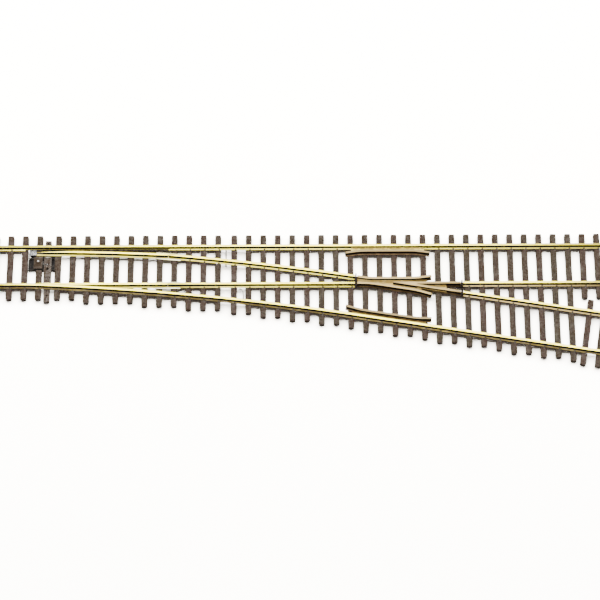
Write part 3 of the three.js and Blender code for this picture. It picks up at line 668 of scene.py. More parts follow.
@dataclass(frozen=True)
class RailFinish:
    """Drawn rail: bright running surface and pale outer foot, with painted shade: the head's sides,
    the web and the foot's inner part by the web are painted near-black (on the web partly its own
    dark oxide).
    """

    name: str = "rail_drawn_nickel"
    crown: Colour = (0.97, 0.82, 0.08)
    # The head's sides are painted near-black: painted shade.
    flank_painted_shade: Colour = (0.012, 0.008, 0.0015)
    # Web colour: partly the web's own dark oxide, partly painted shade under the head; it is also
    # painted on the foot's inner part and edges as painted shade.
    web: Colour = (0.006, 0.004, 0.001)
    foot: Colour = (0.97, 0.83, 0.13)
    tarnish: Colour = (0.4, 0.3, 0.07)
    rail_base: float = 2.1
    rail_height: float = 2.5
    foot_rise: float = 0.45
    crown_rough: float = 0.3

    def build(self, effects: Effects) -> bpy.types.Material:
        """Builds the material.

        Args:
            effects: The shared groups.

        Returns:
            The material.
        """
        material, g, shader = new_material(self.name)
        place = g.place()
        level = g.maths("SUBTRACT", g.height(place), self.rail_base)
        up = g.facing_up()
        lines = effects.use(g, effects.lines, Place=place, Fineness=1.0, Depth=0.25)
        stain = g.noise(g.stretch(place, (0.12, 0.6, 0.6)), 1.0, 5, 0.65)
        in_head = g.fade(level, self.rail_height - 0.4, self.rail_height - 0.2)
        # The foot colour covers only the outer foot; the inner part by the web gets the web colour
        # as painted shadow of the head.
        in_foot = g.fade(level, self.foot_rise - 0.02, self.foot_rise - 0.1)
        top_face = g.fade(up, 0.78, 0.95)
        crown = g.mix(g.fade(lines.outputs["Value"], 0.3, 0.72), self.tarnish, self.crown)
        crown = g.mix(0.78, crown, self.crown)
        # Head faces that do not look up get the flank colour: painted shade.
        head = g.mix(top_face, self.flank_painted_shade, crown)
        foot_top = g.fade(up, 0.2, 0.75)
        foot = g.mix(g.fade(stain, 0.5, 0.78), self.foot, self.tarnish)
        # Foot faces that do not look up get the web colour: painted shade.
        foot = g.mix(foot_top, self.web, foot)
        # Between foot and head the web colour is used: the web's oxide plus painted shade.
        colour = g.mix(in_head, self.web, head)
        colour = g.mix(in_foot, colour, foot)
        running = g.maths("MULTIPLY", in_head, top_face)
        bright = g.maths("MAXIMUM", running, g.maths("MULTIPLY", in_foot, foot_top))
        rough = g.maths("MULTIPLY_ADD", bright, self.crown_rough - 0.85, 0.85)
        rough = g.maths("MULTIPLY_ADD", stain, 0.16, rough)
        dust = effects.use(g, effects.dust, Place=place, Amount=0.12)
        colour = g.mix(dust.outputs["Mask"], colour, (0.62, 0.58, 0.5))
        g.feed(shader.inputs["Base Color"], colour)
        g.feed(shader.inputs["Metallic"], g.maths("MULTIPLY", bright, 0.95))
        g.feed(shader.inputs["Roughness"], rough)
        g.feed(shader.inputs["Specular IOR Level"], 0.15)
        g.feed(shader.inputs["Anisotropic"], 0.35)
        g.feed(shader.inputs["Normal"], lines.outputs["Normal"])
        return material


@dataclass(frozen=True)
class CastFinish:
    """Cast metal painted dark, with rubbed tan tops and a gold flangeway floor."""

    name: str
    crown: Colour = (0.34, 0.245, 0.1)
    floor: Colour = (0.32, 0.21, 0.055)
    foot: Colour = (0.03, 0.018, 0.007)
    paint: Colour = (0.004, 0.0015, 0.0003)
    crown_level: float = 4.52
    floor_low: float = 2.63
    floor_high: float = 2.8
    foot_level: float = 2.42
    rough: float = 0.42
    metal: float = 0.82

    def build(self, effects: Effects) -> bpy.types.Material:
        """Builds the material.

        Args:
            effects: The shared groups.

        Returns:
            The material.
        """
        material, g, shader = new_material(self.name)
        place = g.place()
        level = g.height(place)
        up = g.fade(g.facing_up(), 0.45, 0.8)
        lines = effects.use(g, effects.lines, Place=place, Fineness=0.8, Depth=0.3)
        wear = effects.use(g, effects.wear, Place=place, Amount=0.7)
        cast = g.noise(place, 3.2, 6, 0.62)
        blotch = g.noise(g.stretch(place, (0.5, 0.9, 0.9)), 0.8, 4, 0.6)
        on_crown = g.fade(level, self.crown_level - 0.15, self.crown_level)
        on_floor = g.maths(
            "MULTIPLY",
            g.fade(level, self.floor_low - 0.1, self.floor_low),
            g.fade(level, self.floor_high + 0.1, self.floor_high),
        )
        on_foot = g.fade(level, self.foot_level + 0.1, self.foot_level)
        dulled = tuple(0.8 * c for c in self.crown)
        crown = g.mix(g.fade(lines.outputs["Value"], 0.35, 0.7), dulled, self.crown)
        crown = g.mix(0.6, crown, self.crown)
        floor = g.mix(g.fade(blotch, 0.45, 0.75), self.floor, (0.42, 0.33, 0.14))
        foot = g.mix(g.fade(blotch, 0.4, 0.7), self.foot, tuple(2.2 * c for c in self.foot))
        metal = g.mix(on_crown, self.paint, crown)
        metal = g.mix(on_floor, metal, floor)
        metal = g.mix(on_foot, metal, foot)
        side = g.mix(wear.outputs["Mask"], self.paint, self.crown)
        colour = g.mix(up, side, metal)
        bare = g.maths("MAXIMUM", g.maths("MAXIMUM", on_crown, on_floor), on_foot)
        bare = g.maths("MAXIMUM", g.maths("MULTIPLY", bare, up), wear.outputs["Mask"])
        rough = g.maths("MULTIPLY_ADD", bare, self.rough - 0.62, 0.62)
        rough = g.maths("MULTIPLY_ADD", cast, 0.18, rough)
        g.feed(shader.inputs["Base Color"], colour)
        g.feed(shader.inputs["Metallic"], g.maths("MULTIPLY", bare, self.metal))
        g.feed(shader.inputs["Specular IOR Level"], 0.08)
        g.feed(shader.inputs["Roughness"], rough)
        bumps = g.add("ShaderNodeBump")
        g.feed(bumps.inputs["Height"], cast)
        g.feed(bumps.inputs["Distance"], 0.00004)
        g.feed(bumps.inputs["Strength"], 0.35)
        g.feed(bumps.inputs["Normal"], lines.outputs["Normal"])
        g.feed(shader.inputs["Normal"], bumps.outputs[0])
        return material


@dataclass(frozen=True)
class TieFinish:
    """Brown moulded plastic with wood grain that runs along each tie."""

    name: str = "tie_moulded_brown"
    brown: Colour = (0.026, 0.0145, 0.0075)
    red: Colour = (0.028, 0.0138, 0.0078)
    green: Colour = (0.025, 0.0163, 0.0078)
    pale: Colour = (0.055, 0.036, 0.022)
    dark: Colour = (0.007, 0.004, 0.003)
    chalk: Colour = (0.3, 0.27, 0.24)

    def build(self, effects: Effects) -> bpy.types.Material:
        """Builds the material.

        Args:
            effects: The shared groups.

        Returns:
            The material.
        """
        material, g, shader = new_material(self.name)
        along = g.add("ShaderNodeAttribute", attribute_name="along_tie").outputs["Vector"]
        tint = g.add("ShaderNodeAttribute", attribute_name="tie_tint").outputs["Fac"]
        place = g.place()
        grain = effects.use(g, effects.grain, Place=along, Depth=0.8)
        colour = g.mix(g.fade(tint, 0.1, 0.5), self.red, self.brown)
        colour = g.mix(g.fade(tint, 0.55, 0.95), colour, self.green)
        fibre = grain.outputs["Grain"]
        colour = g.mix(g.fade(fibre, 0.5, 0.72), colour, self.pale)
        colour = g.mix(g.fade(fibre, 0.48, 0.3), colour, self.dark)
        colour = g.mix(g.maths("MULTIPLY", grain.outputs["Split"], 0.8), colour, self.dark)
        wear = effects.use(g, effects.wear, Place=place, Amount=0.35)
        dust = effects.use(g, effects.dust, Place=place, Amount=0.2)
        pale = g.maths("MAXIMUM", wear.outputs["Mask"], dust.outputs["Mask"])
        colour = g.mix(pale, colour, self.chalk)
        g.feed(shader.inputs["Base Color"], colour)
        g.feed(shader.inputs["Roughness"], g.maths("MULTIPLY_ADD", fibre, 0.3, 0.42))
        g.feed(shader.inputs["Specular IOR Level"], 0.06)
        g.feed(shader.inputs["Normal"], grain.outputs["Normal"])
        return material


@dataclass(frozen=True)
class PlasticFinish:
    """Plain moulded plastic with a fine mould texture and rubbed edges."""

    name: str
    base: Colour
    worn: Colour
    rough: float = 0.5
    dust: float = 0.2

    def build(self, effects: Effects) -> bpy.types.Material:
        """Builds the material.

        Args:
            effects: The shared groups.

        Returns:
            The material.
        """
        material, g, shader = new_material(self.name)
        place = g.place()
        fine = g.noise(place, 7.0, 4, 0.6)
        broad = g.noise(place, 0.7, 4, 0.55)
        wear = effects.use(g, effects.wear, Place=place, Amount=0.6)
        dust = effects.use(g, effects.dust, Place=place, Amount=self.dust)
        half = tuple(0.5 * a + 0.5 * b for a, b in zip(self.base, self.worn))
        colour = g.mix(g.fade(broad, 0.4, 0.75), self.base, half)
        colour = g.mix(wear.outputs["Mask"], colour, self.worn)
        colour = g.mix(dust.outputs["Mask"], colour, (0.5, 0.47, 0.42))
        g.feed(shader.inputs["Base Color"], colour)
        g.feed(shader.inputs["Roughness"], g.maths("MULTIPLY_ADD", fine, 0.25, self.rough - 0.1))
        g.feed(shader.inputs["Specular IOR Level"], 0.07)
        g.feed(shader.inputs["Normal"], g.bump(fine, 0.00003, 0.4))
        return material


@dataclass(frozen=True)
class MetalFinish:
    """Bare sheet, wire or solder with fine scratches and stains."""

    name: str
    base: Colour
    stain: Colour
    rough: float = 0.34
    stain_share: float = 0.5
    lines: float = 1.0

    def build(self, effects: Effects) -> bpy.types.Material:
        """Builds the material.

        Args:
            effects: The shared groups.

        Returns:
            The material.
        """
        material, g, shader = new_material(self.name)
        place = g.place()
        lines = effects.use(g, effects.lines, Place=place, Fineness=self.lines, Depth=0.3)
        cloud = g.noise(place, 1.3, 5, 0.6)
        wear = effects.use(g, effects.wear, Place=place, Amount=0.5)
        share = g.maths("MULTIPLY", g.fade(cloud, 0.42, 0.7), self.stain_share)
        colour = g.mix(share, self.base, self.stain)
        colour = g.mix(wear.outputs["Mask"], colour, (0.9, 0.88, 0.84))
        rough = g.maths("MULTIPLY_ADD", lines.outputs["Value"], 0.2, self.rough - 0.08)
        g.feed(shader.inputs["Base Color"], colour)
        g.feed(shader.inputs["Metallic"], 0.92)
        g.feed(shader.inputs["Roughness"], g.maths("MULTIPLY_ADD", cloud, 0.12, rough))
        g.feed(shader.inputs["Normal"], lines.outputs["Normal"])
        return material


@dataclass(frozen=True)
class FloorFinish:
    """Plain pale studio paper."""

    name: str = "studio_paper"
    base: Colour = (0.93, 0.88, 0.79)

    def build(self) -> bpy.types.Material:
        """Builds the material.

        Returns:
            The material.
        """
        material, g, shader = new_material(self.name)
        fibre = g.noise(g.place(), 1.5, 4, 0.6)
        soft = tuple(c * 0.985 for c in self.base)
        g.feed(shader.inputs["Base Color"], g.mix(fibre, soft, self.base))
        g.feed(shader.inputs["Roughness"], g.maths("MULTIPLY_ADD", fibre, 0.1, 0.85))
        g.feed(shader.inputs["Specular IOR Level"], 0.1)
        return material


def new_material(name: str) -> tuple[bpy.types.Material, Graph, bpy.types.Node]:
    """Starts a material.

    Args:
        name: Its name.

    Returns:
        The material, its graph and its Principled shader.
    """
    material = bpy.data.materials.new(name)
    material.use_nodes = True
    material.node_tree.nodes.clear()
    graph = Graph(material.node_tree)
    shader = graph.add("ShaderNodeBsdfPrincipled")
    output = graph.add("ShaderNodeOutputMaterial")
    graph.feed(output.inputs["Surface"], shader.outputs[0])
    return material, graph, shader


class Palette:
    """Every material of the turnout, built once."""

    def __init__(self) -> None:
        """Builds the shared effects and the materials."""
        effects = Effects()
        self.rail = RailFinish().build(effects)
        self.outer_rail = RailFinish(
            "rail_drawn_dark_foot", foot=(0.12, 0.088, 0.03)
        ).build(effects)
        self.exit_rail = RailFinish("rail_drawn_tan_foot", foot=(0.5, 0.37, 0.14)).build(effects)
        self.frog = CastFinish("frog_cast").build(effects)
        self.guard = CastFinish(
            "guard_cast", crown=(0.22, 0.16, 0.072), foot=(0.07, 0.045, 0.022)
        ).build(effects)
        self.flangeway = CastFinish(
            "flangeway_gold", foot=(0.6, 0.46, 0.11), foot_level=3.2, floor_low=3.6, metal=0.3
        ).build(effects)
        # Darker copy of the flangeway strip's finish for the diverging side, whose strip lies in
        # shadow: painted shade.
        self.painted_shade_flangeway = CastFinish(
            "flangeway_painted_shade", foot=(0.13, 0.085, 0.028), foot_level=3.2, floor_low=3.6
        ).build(effects)
        self.tie = TieFinish().build(effects)
        self.housing = PlasticFinish(
            "housing_black", (0.005, 0.004, 0.0035), (0.04, 0.034, 0.028), 0.5, 0.03
        ).build(effects)
        self.insulator = PlasticFinish(
            "insulator_black", (0.008, 0.005, 0.003), (0.03, 0.02, 0.012), 0.55, 0.02
        ).build(effects)
        self.plate = MetalFinish(
            "contact_plate_grey", (0.05, 0.05, 0.062), (0.035, 0.035, 0.045), 0.55, 0.3
        ).build(effects)
        self.link = MetalFinish(
            "link_brass", (0.06, 0.045, 0.025), (0.03, 0.02, 0.01), 0.5
        ).build(effects)
        self.joiner = MetalFinish(
            "joiner_silver", (0.95, 0.88, 0.5), (0.6, 0.5, 0.24), 0.3, 0.3
        ).build(effects)
        self.wire = MetalFinish("wire_tinned", (0.5, 0.48, 0.42), (0.2, 0.18, 0.14)).build(effects)
        self.pin = MetalFinish("pin_steel", (0.25, 0.24, 0.23), (0.1, 0.09, 0.08)).build(effects)
        self.solder = MetalFinish(
            "solder_bright", (0.85, 0.84, 0.8), (0.55, 0.54, 0.5), 0.26, 0.4
        ).build(effects)
        self.spring = MetalFinish(
            "spring_steel", (0.06, 0.055, 0.05), (0.03, 0.025, 0.02), 0.45
        ).build(effects)


# ------------------------------------------------------------------------------ rail lines


@dataclass(frozen=True)
class RailLine:
    """The centre line of one or two rails in a row, read from the frame."""

    xs: np.ndarray
    ys: np.ndarray

    @staticmethod
    def of(*nodes: str) -> "RailLine":
        """Reads the line from the running surface.

        Args:
            nodes: The rails, one after the other.

        Returns:
            The line.
        """
        points = np.vstack([vertices_of(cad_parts[n]) for n in nodes])
        top = points[points[:, 2] > points[:, 2].max() - CROWN_BAND]
        top = np.unique(np.round(top, 7), axis=0)
        top = top[np.argsort(top[:, 0])]
        high = {}
        for x, y, _ in top:
            high.setdefault(round(float(x) / ROW_STEP), []).append((float(x), float(y)))
        stations = [np.array(row) for row in high.values() if len(row) > 1]
        wide = [row for row in stations if np.ptp(row[:, 1]) > LEAST_HEAD_WIDTH]
        middles = [(row.min(axis=0) + row.max(axis=0)) / 2 for row in wide]
        rows = np.array(sorted(map(tuple, middles)))
        return RailLine(rows[:, 0], rows[:, 1])

    def side(self, x: float) -> float:
        """Gives the line's Y.

        Args:
            x: The place along the turnout.

        Returns:
            The Y there.
        """
        return float(np.interp(x, self.xs, self.ys))

    def covers(self, x: float, margin: float = 0.0) -> bool:
        """Says whether the line reaches a place.

        Args:
            x: The place along the turnout.
            margin: How far past each end still counts.

        Returns:
            True inside the line.
        """
        return self.xs[0] - margin <= x <= self.xs[-1] + margin


@dataclass(frozen=True)
class Tie:
    """One tie as the frame has it."""

    centre: Vector
    along: Vector
    length: float
    width: float

    def crossing(self, line: RailLine) -> Vector | None:
        """Finds where a rail crosses this tie.

        Args:
            line: The rail's line.

        Returns:
            The place, or nothing.
        """
        steps = np.linspace(-self.length / 2, self.length / 2, 600)
        points = [self.centre + self.along * float(t) for t in steps]
        gaps = [p.y - line.side(p.x) for p in points]
        for before, after, a, b in zip(points, points[1:], gaps, gaps[1:]):
            if a <= 0 < b and line.covers(before.x, 1.5 * MM):
                return before.lerp(after, -a / (b - a))
        return None


def ties_of(node: str, floor: float = 0.02 * MM) -> list[Tie]:
    """Reads the ties of a moulding from their undersides.

    Args:
        node: The CAD node of the moulding.
        floor: Points lower than this belong to an underside.

    Returns:
        The ties, in order along the turnout.
    """
    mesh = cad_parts[node].data
    parent: dict[Point, Point] = {}

    def root(key: Point) -> Point:
        """Follows a corner to the one that stands for its tie.

        Args:
            key: The corner.

        Returns:
            The corner that stands for the tie.
        """
        while parent[key] != key:
            key = parent[key]
        return key

    for polygon in mesh.polygons:
        points = [mesh.vertices[i].co for i in polygon.vertices]
        if max(p.z for p in points) > floor:
            continue
        keys = [tuple(round(c, 6) for c in p) for p in points]
        for key in keys:
            parent.setdefault(key, key)
        for key in keys[1:]:
            parent[root(key)] = root(keys[0])
    groups: dict[Point, list[Point]] = {}
    for key in parent:
        groups.setdefault(root(key), []).append(key)
    ties = []
    for keys in groups.values():
        flat = np.array(keys)[:, :2]
        middle = (flat.min(axis=0) + flat.max(axis=0)) / 2
        spread = np.linalg.svd(flat - flat.mean(axis=0), full_matrices=False)[2][0]
        if abs(spread[1]) > 0.999 or len(flat) != 4:
            spread = np.array([0.0, 1.0])
        else:
            low = flat[np.argsort(flat[:, 1])]
            spread = (low[2:].mean(axis=0) - low[:2].mean(axis=0))
            spread = spread / np.linalg.norm(spread)
            middle = flat.mean(axis=0)
        spread = spread if spread[1] > 0 else -spread
        along = (flat - middle) @ spread
        across = (flat - middle) @ np.array([spread[1], -spread[0]])
        ties.append(
            Tie(
                Vector((*middle, 0)),
                Vector((*spread, 0)),
                float(np.ptp(along)),
                float(np.ptp(across)),
            )
        )
    return sorted(ties, key=lambda tie: tie.centre.x)


# ------------------------------------------------------------------------------ tie mouldings


@dataclass
class TieStrips:
    """Both tie mouldings, with their webs, rounded tie ends and spike heads."""

    palette: Palette
    height: float = 2.1 * MM
    end_radius: float = 0.5 * MM
    rim: float = 0.13 * MM
    web_width: float = 1.9 * MM
    web_height: float = 1.1 * MM
    low_web_height: float = 0.45 * MM
    low_web_width: float = 1.2 * MM
    web_tint: float = 0.4
    sight: float = 1 * MM
    web_top: float = 2.05 * MM
    plate_height: float = 0.07 * MM
    spike_side: float = 1.0 * MM
    spike_step: float = 0.62 * MM
    close_rails: float = 3.7 * MM
    point_zone: tuple[float, float] = (-0.1135, -0.0462)
    guard_zone: tuple[float, float] = (0.0215, 0.0585)
    frog_zone: tuple[float, float] = (0.0245, 0.0725)
    joiner_zone: tuple[float, float] = (-0.0575, -0.0462)
    under_webs: tuple[str, ...] = (
        "throwbar",
        "jumper_wire_straight_side",
        "jumper_wire_diverging_side",
    )
    parts: list[bpy.types.Object] = field(default_factory=list)

    def tie_template(self, width: float) -> bpy.types.Object:
        """Models one tie, ten millimetres long, with rounded upright corners and top rim.

        Args:
            width: The tie's width.

        Returns:
            The template, its underside centred on the origin.
        """
        tie = block("tie_template", (width, 10 * MM, self.height), (0, 0, self.height / 2))
        pick(tie, "EDGE", lambda p: abs(p[0].z - p[1].z) > 1 * MM)
        bpy.ops.mesh.bevel(offset=self.end_radius, segments=4, affect="EDGES")
        leave_edit()
        pick(tie, "FACE", lambda p: min(q.z for q in p) > 2 * MM)
        bpy.ops.mesh.inset(thickness=self.rim, depth=0)
        leave_edit()
        inner = width / 2 - 0.7 * self.rim
        reach = 5 * MM - 0.7 * self.rim
        rim_drop = Vector((0, 0, -self.rim * 0.7))
        pick(
            tie,
            "VERT",
            lambda p: p[0].z > 2 * MM
            and (abs(p[0].x) > inner or abs(p[0].y) > reach or self.on_corner(p[0], width)),
        )
        bpy.ops.transform.translate(value=rim_drop)
        leave_edit()
        only(tie)
        bpy.ops.object.shade_smooth_by_angle(angle=math.radians(50))
        return tie

    def on_corner(self, point: Vector, width: float) -> bool:
        """Says whether a vertex lies on the outline's rounded corner.

        Args:
            point: The vertex.
            width: The tie's width.

        Returns:
            True on the outline.
        """
        dx = abs(point.x) - (width / 2 - self.end_radius)
        dy = abs(point.y) - (5 * MM - self.end_radius)
        return dx > 0 and dy > 0 and math.hypot(dx, dy) > self.end_radius - 0.4 * self.rim

    def spike_template(self) -> bpy.types.Object:
        """Models one spike head on its small plate.

        Returns:
            The template, its hook towards -Y and the rail's foot edge near the origin.
        """
        head = block("spike_head", (0.66 * MM, 0.7 * MM, 0.62 * MM), (0, 0, 0.31 * MM))
        pick(head, "FACE", lambda p: min(q.z for q in p) > 0.4 * MM)
        bpy.ops.mesh.inset(thickness=0.1 * MM, depth=0)
        bpy.ops.transform.translate(value=(0, -0.05 * MM, 0.07 * MM))
        leave_edit()
        plate = block(
            "spike_plate",
            (0.9 * MM, 0.95 * MM, 2 * self.plate_height),
            (0, 0.22 * MM, 0),
        )
        spike = fuse("spike_template", [head, plate])
        only(spike)
        bpy.ops.object.shade_smooth_by_angle(angle=math.radians(50))
        return spike

    def lay_tie(self, template: bpy.types.Object, tie: Tie, tint: float) -> bpy.types.Object:
        """Copies the tie template, stretches it between its ends and places it.

        Args:
            template: The tie template.
            tie: The tie of the frame.
            tint: Its shade, from 0 to 1.

        Returns:
            The placed tie.
        """
        matrix = frame_matrix(tie.centre, tie.along)
        twin = placed_copy(template, matrix)
        grow = (tie.length - 10 * MM) / 2
        points = vertices_of(twin)
        points[:, 1] += np.sign(points[:, 1]) * grow
        twin.data.vertices.foreach_set("co", points.ravel())
        spread = points[:, [1, 0, 2]] * 1000 + np.array([tint * 91, tint * 57, tint * 33])
        note_attribute(twin, "along_tie", spread)
        note_attribute(twin, "tie_tint", np.full(len(points), tint))
        return twin

    def lay_web(self, name: str, start: Vector, end: Vector) -> bpy.types.Object:
        """Models the thin web under a rail between two ties.

        Args:
            name: The web's name.
            start: Its place on one tie.
            end: Its place on the next.

        Returns:
            The placed web.
        """
        run = end - start
        middle = (start + end) / 2
        passes = [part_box(node) for node in self.under_webs]
        low = any(start.x < (a[0] + b[0]) / 2 < end.x for a, b in passes)
        deep = self.low_web_height if low else self.web_height
        wide = self.low_web_width if low else self.web_width
        web = block(name, (wide, run.length, deep))
        web.matrix_world = frame_matrix(
            Vector((middle.x, middle.y, self.web_top - deep / 2)), run.normalized()
        )
        points = vertices_of(web)
        note_attribute(web, "along_tie", points[:, [1, 0, 2]] * 1000 + middle.x * 700)
        note_attribute(web, "tie_tint", np.full(len(points), self.web_tint))
        return web

    def lay_spike(
        self, template: bpy.types.Object, at: Vector, heading: Vector, side: int, tint: float
    ) -> bpy.types.Object:
        """Places one spike head at a rail's foot.

        Args:
            template: The spike template.
            at: The rail's centre on the tie.
            heading: The rail's direction.
            side: 1 for the +Y side of the rail, -1 for the other.
            tint: The tie's shade.

        Returns:
            The placed spike.
        """
        left = Vector((-heading.y, heading.x, 0))
        spot = at + left * (self.spike_side * side) + heading * (self.spike_step * side * -1)
        matrix = frame_matrix(Vector((spot.x, spot.y, self.height)), left * side)
        twin = placed_copy(template, matrix)
        points = vertices_of(twin)
        note_attribute(twin, "along_tie", points[:, [1, 0, 2]] * 1000 + tint * 77)
        note_attribute(twin, "tie_tint", np.full(len(points), tint))
        return twin

    def wants_spike(self, line: str, x: float, side: int, apart: float) -> bool:
        """Says whether a rail has a spike head there.

        Args:
            line: north, south, straight or diverging.
            x: The place along the turnout.
            side: 1 for the +Y side of the rail, -1 for the other.
            apart: The distance to the other inner rail.

        Returns:
            True where the moulding has one.
        """
        if line in ("north", "south"):
            inner = (line == "north") == (side < 0)
            zones = (self.point_zone, self.guard_zone)
            return not (inner and any(a < x < b for a, b in zones))
        upper = "diverging" if x < self.frog_zone[0] else "straight"
        facing = (line == upper) == (side < 0)
        in_zone = any(a < x < b for a, b in (self.frog_zone, self.joiner_zone))
        return not in_zone and not (facing and apart < self.close_rails)

    def build(self) -> None:
        """Models both mouldings."""
        lines = {
            "north": RailLine.of("stock_rail_straight"),
            "south": RailLine.of("stock_rail_diverging"),
            "straight": RailLine.of("closure_rail_straight", "exit_rail_straight"),
            "diverging": RailLine.of("closure_rail_diverging", "exit_rail_diverging"),
        }
        chance = random.Random(GRAIN_SEED)
        box_start, box_end = (corner[0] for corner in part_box("spring_housing"))
        spike = self.spike_template()
        for node in ("tie_strip_switch_end", "tie_strip_frog_end"):
            ties = ties_of(node)
            LOG.info("%s: %d ties", node, len(ties))
            template = self.tie_template(max(t.width for t in ties))
            pieces = []
            marks: dict[str, list[Vector]] = {key: [] for key in lines}
            for tie in ties:
                tint = chance.random()
                pieces.append(self.lay_tie(template, tie, tint))
                for key, line in lines.items():
                    at = tie.crossing(line)
                    if at is None:
                        continue
                    marks[key].append(at)
                    rise = line.side(at.x + self.sight) - line.side(at.x)
                    ahead = Vector((self.sight, rise, 0))
                    apart = abs(lines["straight"].side(at.x) - lines["diverging"].side(at.x))
                    for side in (1, -1):
                        if self.wants_spike(key, at.x, side, apart):
                            pieces.append(
                                self.lay_spike(spike, at, ahead.normalized(), side, tint)
                            )
            for key, places in marks.items():
                for i, (a, b) in enumerate(zip(places, places[1:])):
                    if key == "north" and a.x < box_end and b.x > box_start:
                        continue
                    pieces.append(self.lay_web(f"web_{key}_{i}", a, b))
            discard(template)
            self.parts.append(fuse(node.replace("tie_strip", "ties"), pieces))
        discard(spike)

    def dress(self) -> None:
        """Hands both mouldings over."""
        for obj, node in zip(self.parts, ("tie_strip_switch_end", "tie_strip_frog_end")):
            hand_over(obj, Body.BASE, Slot.TIE_PLASTIC, self.palette.tie, node)


def frame_matrix(at: Vector, along: Vector) -> Matrix:
    """Makes a placement whose Y axis lies along a level direction.

    Args:
        at: The place.
        along: The direction.

    Returns:
        The matrix.
    """
    turn = Matrix.Rotation(math.atan2(-along.x, along.y), 4, "Z")
    return Matrix.Translation(at) @ turn


# ------------------------------------------------------------------------------ rails


@dataclass
class Rails:
    """The stock, point, closure and exit rails, with rounded heads and feet."""

    palette: Palette
    edge: float = 0.045 * MM
    top: float = 4.6 * MM
    tip_drop: float = 0.14 * MM
    tip_run: float = 3.0 * MM
    fixed: tuple[str, ...] = (
        "stock_rail_straight",
        "stock_rail_diverging",
        "closure_rail_straight",
        "closure_rail_diverging",
        "exit_rail_straight",
        "exit_rail_diverging",
    )
    built: dict[str, bpy.types.Object] = field(default_factory=dict)

    def plane_tip(self, rail: bpy.types.Object, tip: float) -> None:
        """Planes the top of a point rail down towards its tip.

        Args:
            rail: The point rail.
            tip: The X of its tip.
        """
        slope = math.atan(self.tip_drop / self.tip_run)
        pick(rail, "FACE", lambda points: True)
        bpy.ops.mesh.bisect(
            plane_co=(tip, 0, self.top - self.tip_drop),
            plane_no=(-math.sin(slope), 0, math.cos(slope)),
            use_fill=True,
            clear_outer=True,
        )
        leave_edit()

    def build(self) -> None:
        """Models every rail."""
        for node in (*self.fixed, "point_rail_straight", "point_rail_diverging"):
            rail = cad_copy(node, f"{node}_drawn")
            if node not in self.fixed:
                self.plane_tip(rail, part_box(node)[0][0])
            self.built[node] = soften(rail, self.edge, 2, 20, 35)

    def dress(self) -> None:
        """Hands the rails over to their bodies."""
        moving = {
            "point_rail_straight": Body.STRAIGHT_POINT,
            "point_rail_diverging": Body.DIVERGING_POINT,
        }
        finishes = {
            "stock_rail_diverging": self.palette.outer_rail,
            "exit_rail_straight": self.palette.exit_rail,
            "exit_rail_diverging": self.palette.exit_rail,
        }
        for node, obj in self.built.items():
            body = moving.get(node, Body.BASE)
            material = finishes.get(node, self.palette.rail)
            hand_over(obj, body, Slot.RAIL_METAL, material, node)


# ------------------------------------------------------------------------------ frog and guards


@dataclass
class FrogAndGuards:
    """The cast frog, its insulators, the guard rails and the strips in their flangeways."""

    palette: Palette
    edge: float = 0.05 * MM
    insulator_edge: float = 0.08 * MM
    built: dict[str, bpy.types.Object] = field(default_factory=dict)

    def build(self) -> None:
        """Models the castings."""
        for node in ("frog_casting", "guard_rail_straight_side", "guard_rail_diverging_side"):
            self.built[node] = soften(cad_copy(node, f"{node}_cast"), self.edge, 2, 24, 35)
        for node in ("guard_floor_straight_side", "guard_floor_diverging_side"):
            self.built[node] = soften(cad_copy(node, f"{node}_strip"), self.edge, 2, 30, 35)
        for node in (
            "frog_toe_insulator",
            "frog_heel_insulator_straight",
            "frog_heel_insulator_diverging",
        ):
            copy = cad_copy(node, f"{node}_moulded")
            self.built[node] = soften(copy, self.insulator_edge, 3, 30, 40)

    def dress(self) -> None:
        """Hands the castings over."""
        looks = {
            "frog_casting": (Slot.FROG_METAL, self.palette.frog),
            "guard_rail_straight_side": (Slot.FROG_METAL, self.palette.guard),
            "guard_rail_diverging_side": (Slot.FROG_METAL, self.palette.guard),
            "guard_floor_straight_side": (Slot.FROG_METAL, self.palette.flangeway),
            # The diverging-side strip takes the darker copy: painted shade.
            "guard_floor_diverging_side": (Slot.FROG_METAL, self.palette.painted_shade_flangeway),
        }
        plastic = (Slot.DARK_PLASTIC, self.palette.insulator)
        for node, obj in self.built.items():
            slot, material = looks.get(node, plastic)
            hand_over(obj, Body.BASE, slot, material, node)


# ------------------------------------------------------------------------------ switch gear


